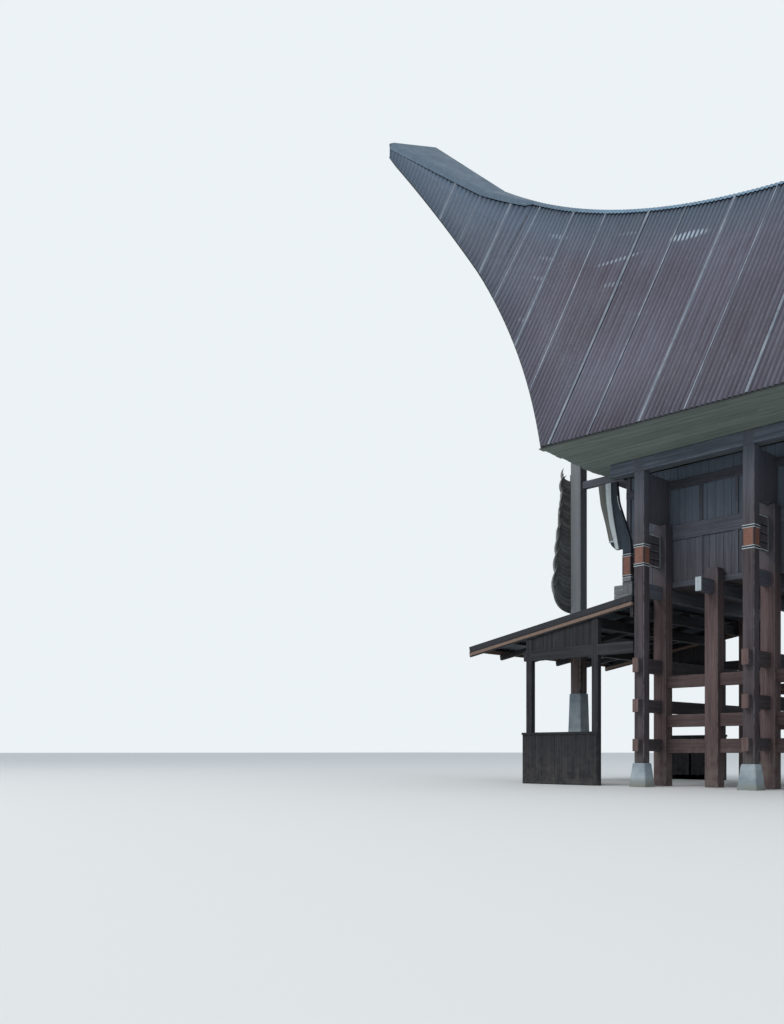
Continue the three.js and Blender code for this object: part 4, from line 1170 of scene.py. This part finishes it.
for x in (-2.095, -1.26, -0.42, 0.42, 1.26, 2.095):
    layers = [(0.06, 0.089, 0.1355, 0)]
    if abs(x) > 2:
        layers = [(0.06, 0.018, 0.0995, 0), (0.058, 0.052, 0.1352, 1), (0.044, 0.017, 0.1706, 0)]
    for width, depth, drop, finish in layers:
        work.stick((x, -back, porch_z(back) - drop), (x, -front, porch_z(front) - drop), width, depth,
                   (1, 0, 0), 0.004, finish)
piece("porch_frame_timber", work, [PORCH_WOOD, FASCIA], "beam_timber", "porch_frame")

for word, side in SIDES:
    work = Work()
    x = side * 2.0904
    for y0, y1 in boards(-5.59, -4.135, 0.11, 0.04, slack=0.01):
        work.block(x, x + side * (0.019 + 0.003 * rng.random()), y0, y1, 0.0, 0.807, 0.003)
    for y in (-5.567, -4.863, -4.158):
        work.rail(x, x + side * 0.0249, y, 0.022, 0.0, 0.805, 0.003)
    work.block(x, x + side * 0.0235, -5.588, -4.137, 0.0, 0.09, 0.003)
    work.block(x, x + side * 0.0398, -5.60, -4.125, 0.806, 0.845, 0.005)
    piece(f"porch_wall_{word}_boards", work, [PORCH_WOOD], "wall_board", f"porch_wall_{word}")

# Floor, light and camera

pale = bpy.data.materials.new("ground_pale")
pale.use_nodes = True
pale_shader = pale.node_tree.nodes["Principled BSDF"]
pale_shader.inputs["Base Color"].default_value = (0.72, 0.70, 0.67, 1)
pale_shader.inputs["Roughness"].default_value = 0.9

GROUND = 400
mesh = bpy.data.meshes.new("ground")
mesh.from_pydata([(GROUND * x, GROUND * y, 0) for x, y in ((-1, -1), (1, -1), (1, 1), (-1, 1))], [],
                 [(0, 1, 2, 3)])
mesh.materials.append(pale)
add_object("ground", mesh)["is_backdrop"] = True

world = bpy.data.worlds.new("studio")
bpy.context.scene.world = world
world.use_nodes = True
nodes, links = world.node_tree.nodes, world.node_tree.links
seen = nodes.new("ShaderNodeLightPath").outputs["Is Camera Ray"]
sky = nodes.new("ShaderNodeMix")
sky.data_type = "RGBA"
sky.inputs[6].default_value = (0.66, 0.74, 0.82, 1)
sky.inputs[7].default_value = (0.84, 0.89, 0.92, 1)
links.new(seen, sky.inputs[0])
links.new(sky.outputs[2], nodes["Background"].inputs["Color"])


def area_light(name, place, aim, size, power, colour):
    light = bpy.data.lights.new(name, "AREA")
    light.shape = "DISK"
    light.size = size
    light.energy = power
    light.color = colour
    lamp = add_object(name, light)
    lamp.location = place
    lamp.rotation_mode = "QUATERNION"
    lamp.rotation_quaternion = (Vector(aim) - Vector(place)).to_track_quat("-Z", "Y")


area_light("key", (30, -10, 24), (0, -2, 4), 16, 5200, (1.0, 0.99, 0.98))
area_light("fill", (9, 38, 15), (0, 0, 3), 22, 2900, (0.78, 0.9, 1.0))

scene = bpy.context.scene
scene.view_settings.view_transform = "Standard"
camera_data = bpy.data.cameras.new("camera")
camera_data.lens = 33.19
camera_data.shift_y = 0.234
camera_data.clip_end = 1500
camera = add_object("camera", camera_data)
camera.location = (14.54, 4.27, 0.53)
camera.rotation_euler = (math.pi / 2, 0, math.atan2(0.691, -0.723))
scene.camera = camera

boxes = {"cad": cad_box, "visual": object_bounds()}
{key: [list(corner) for corner in box] for key, box in boxes.items()}
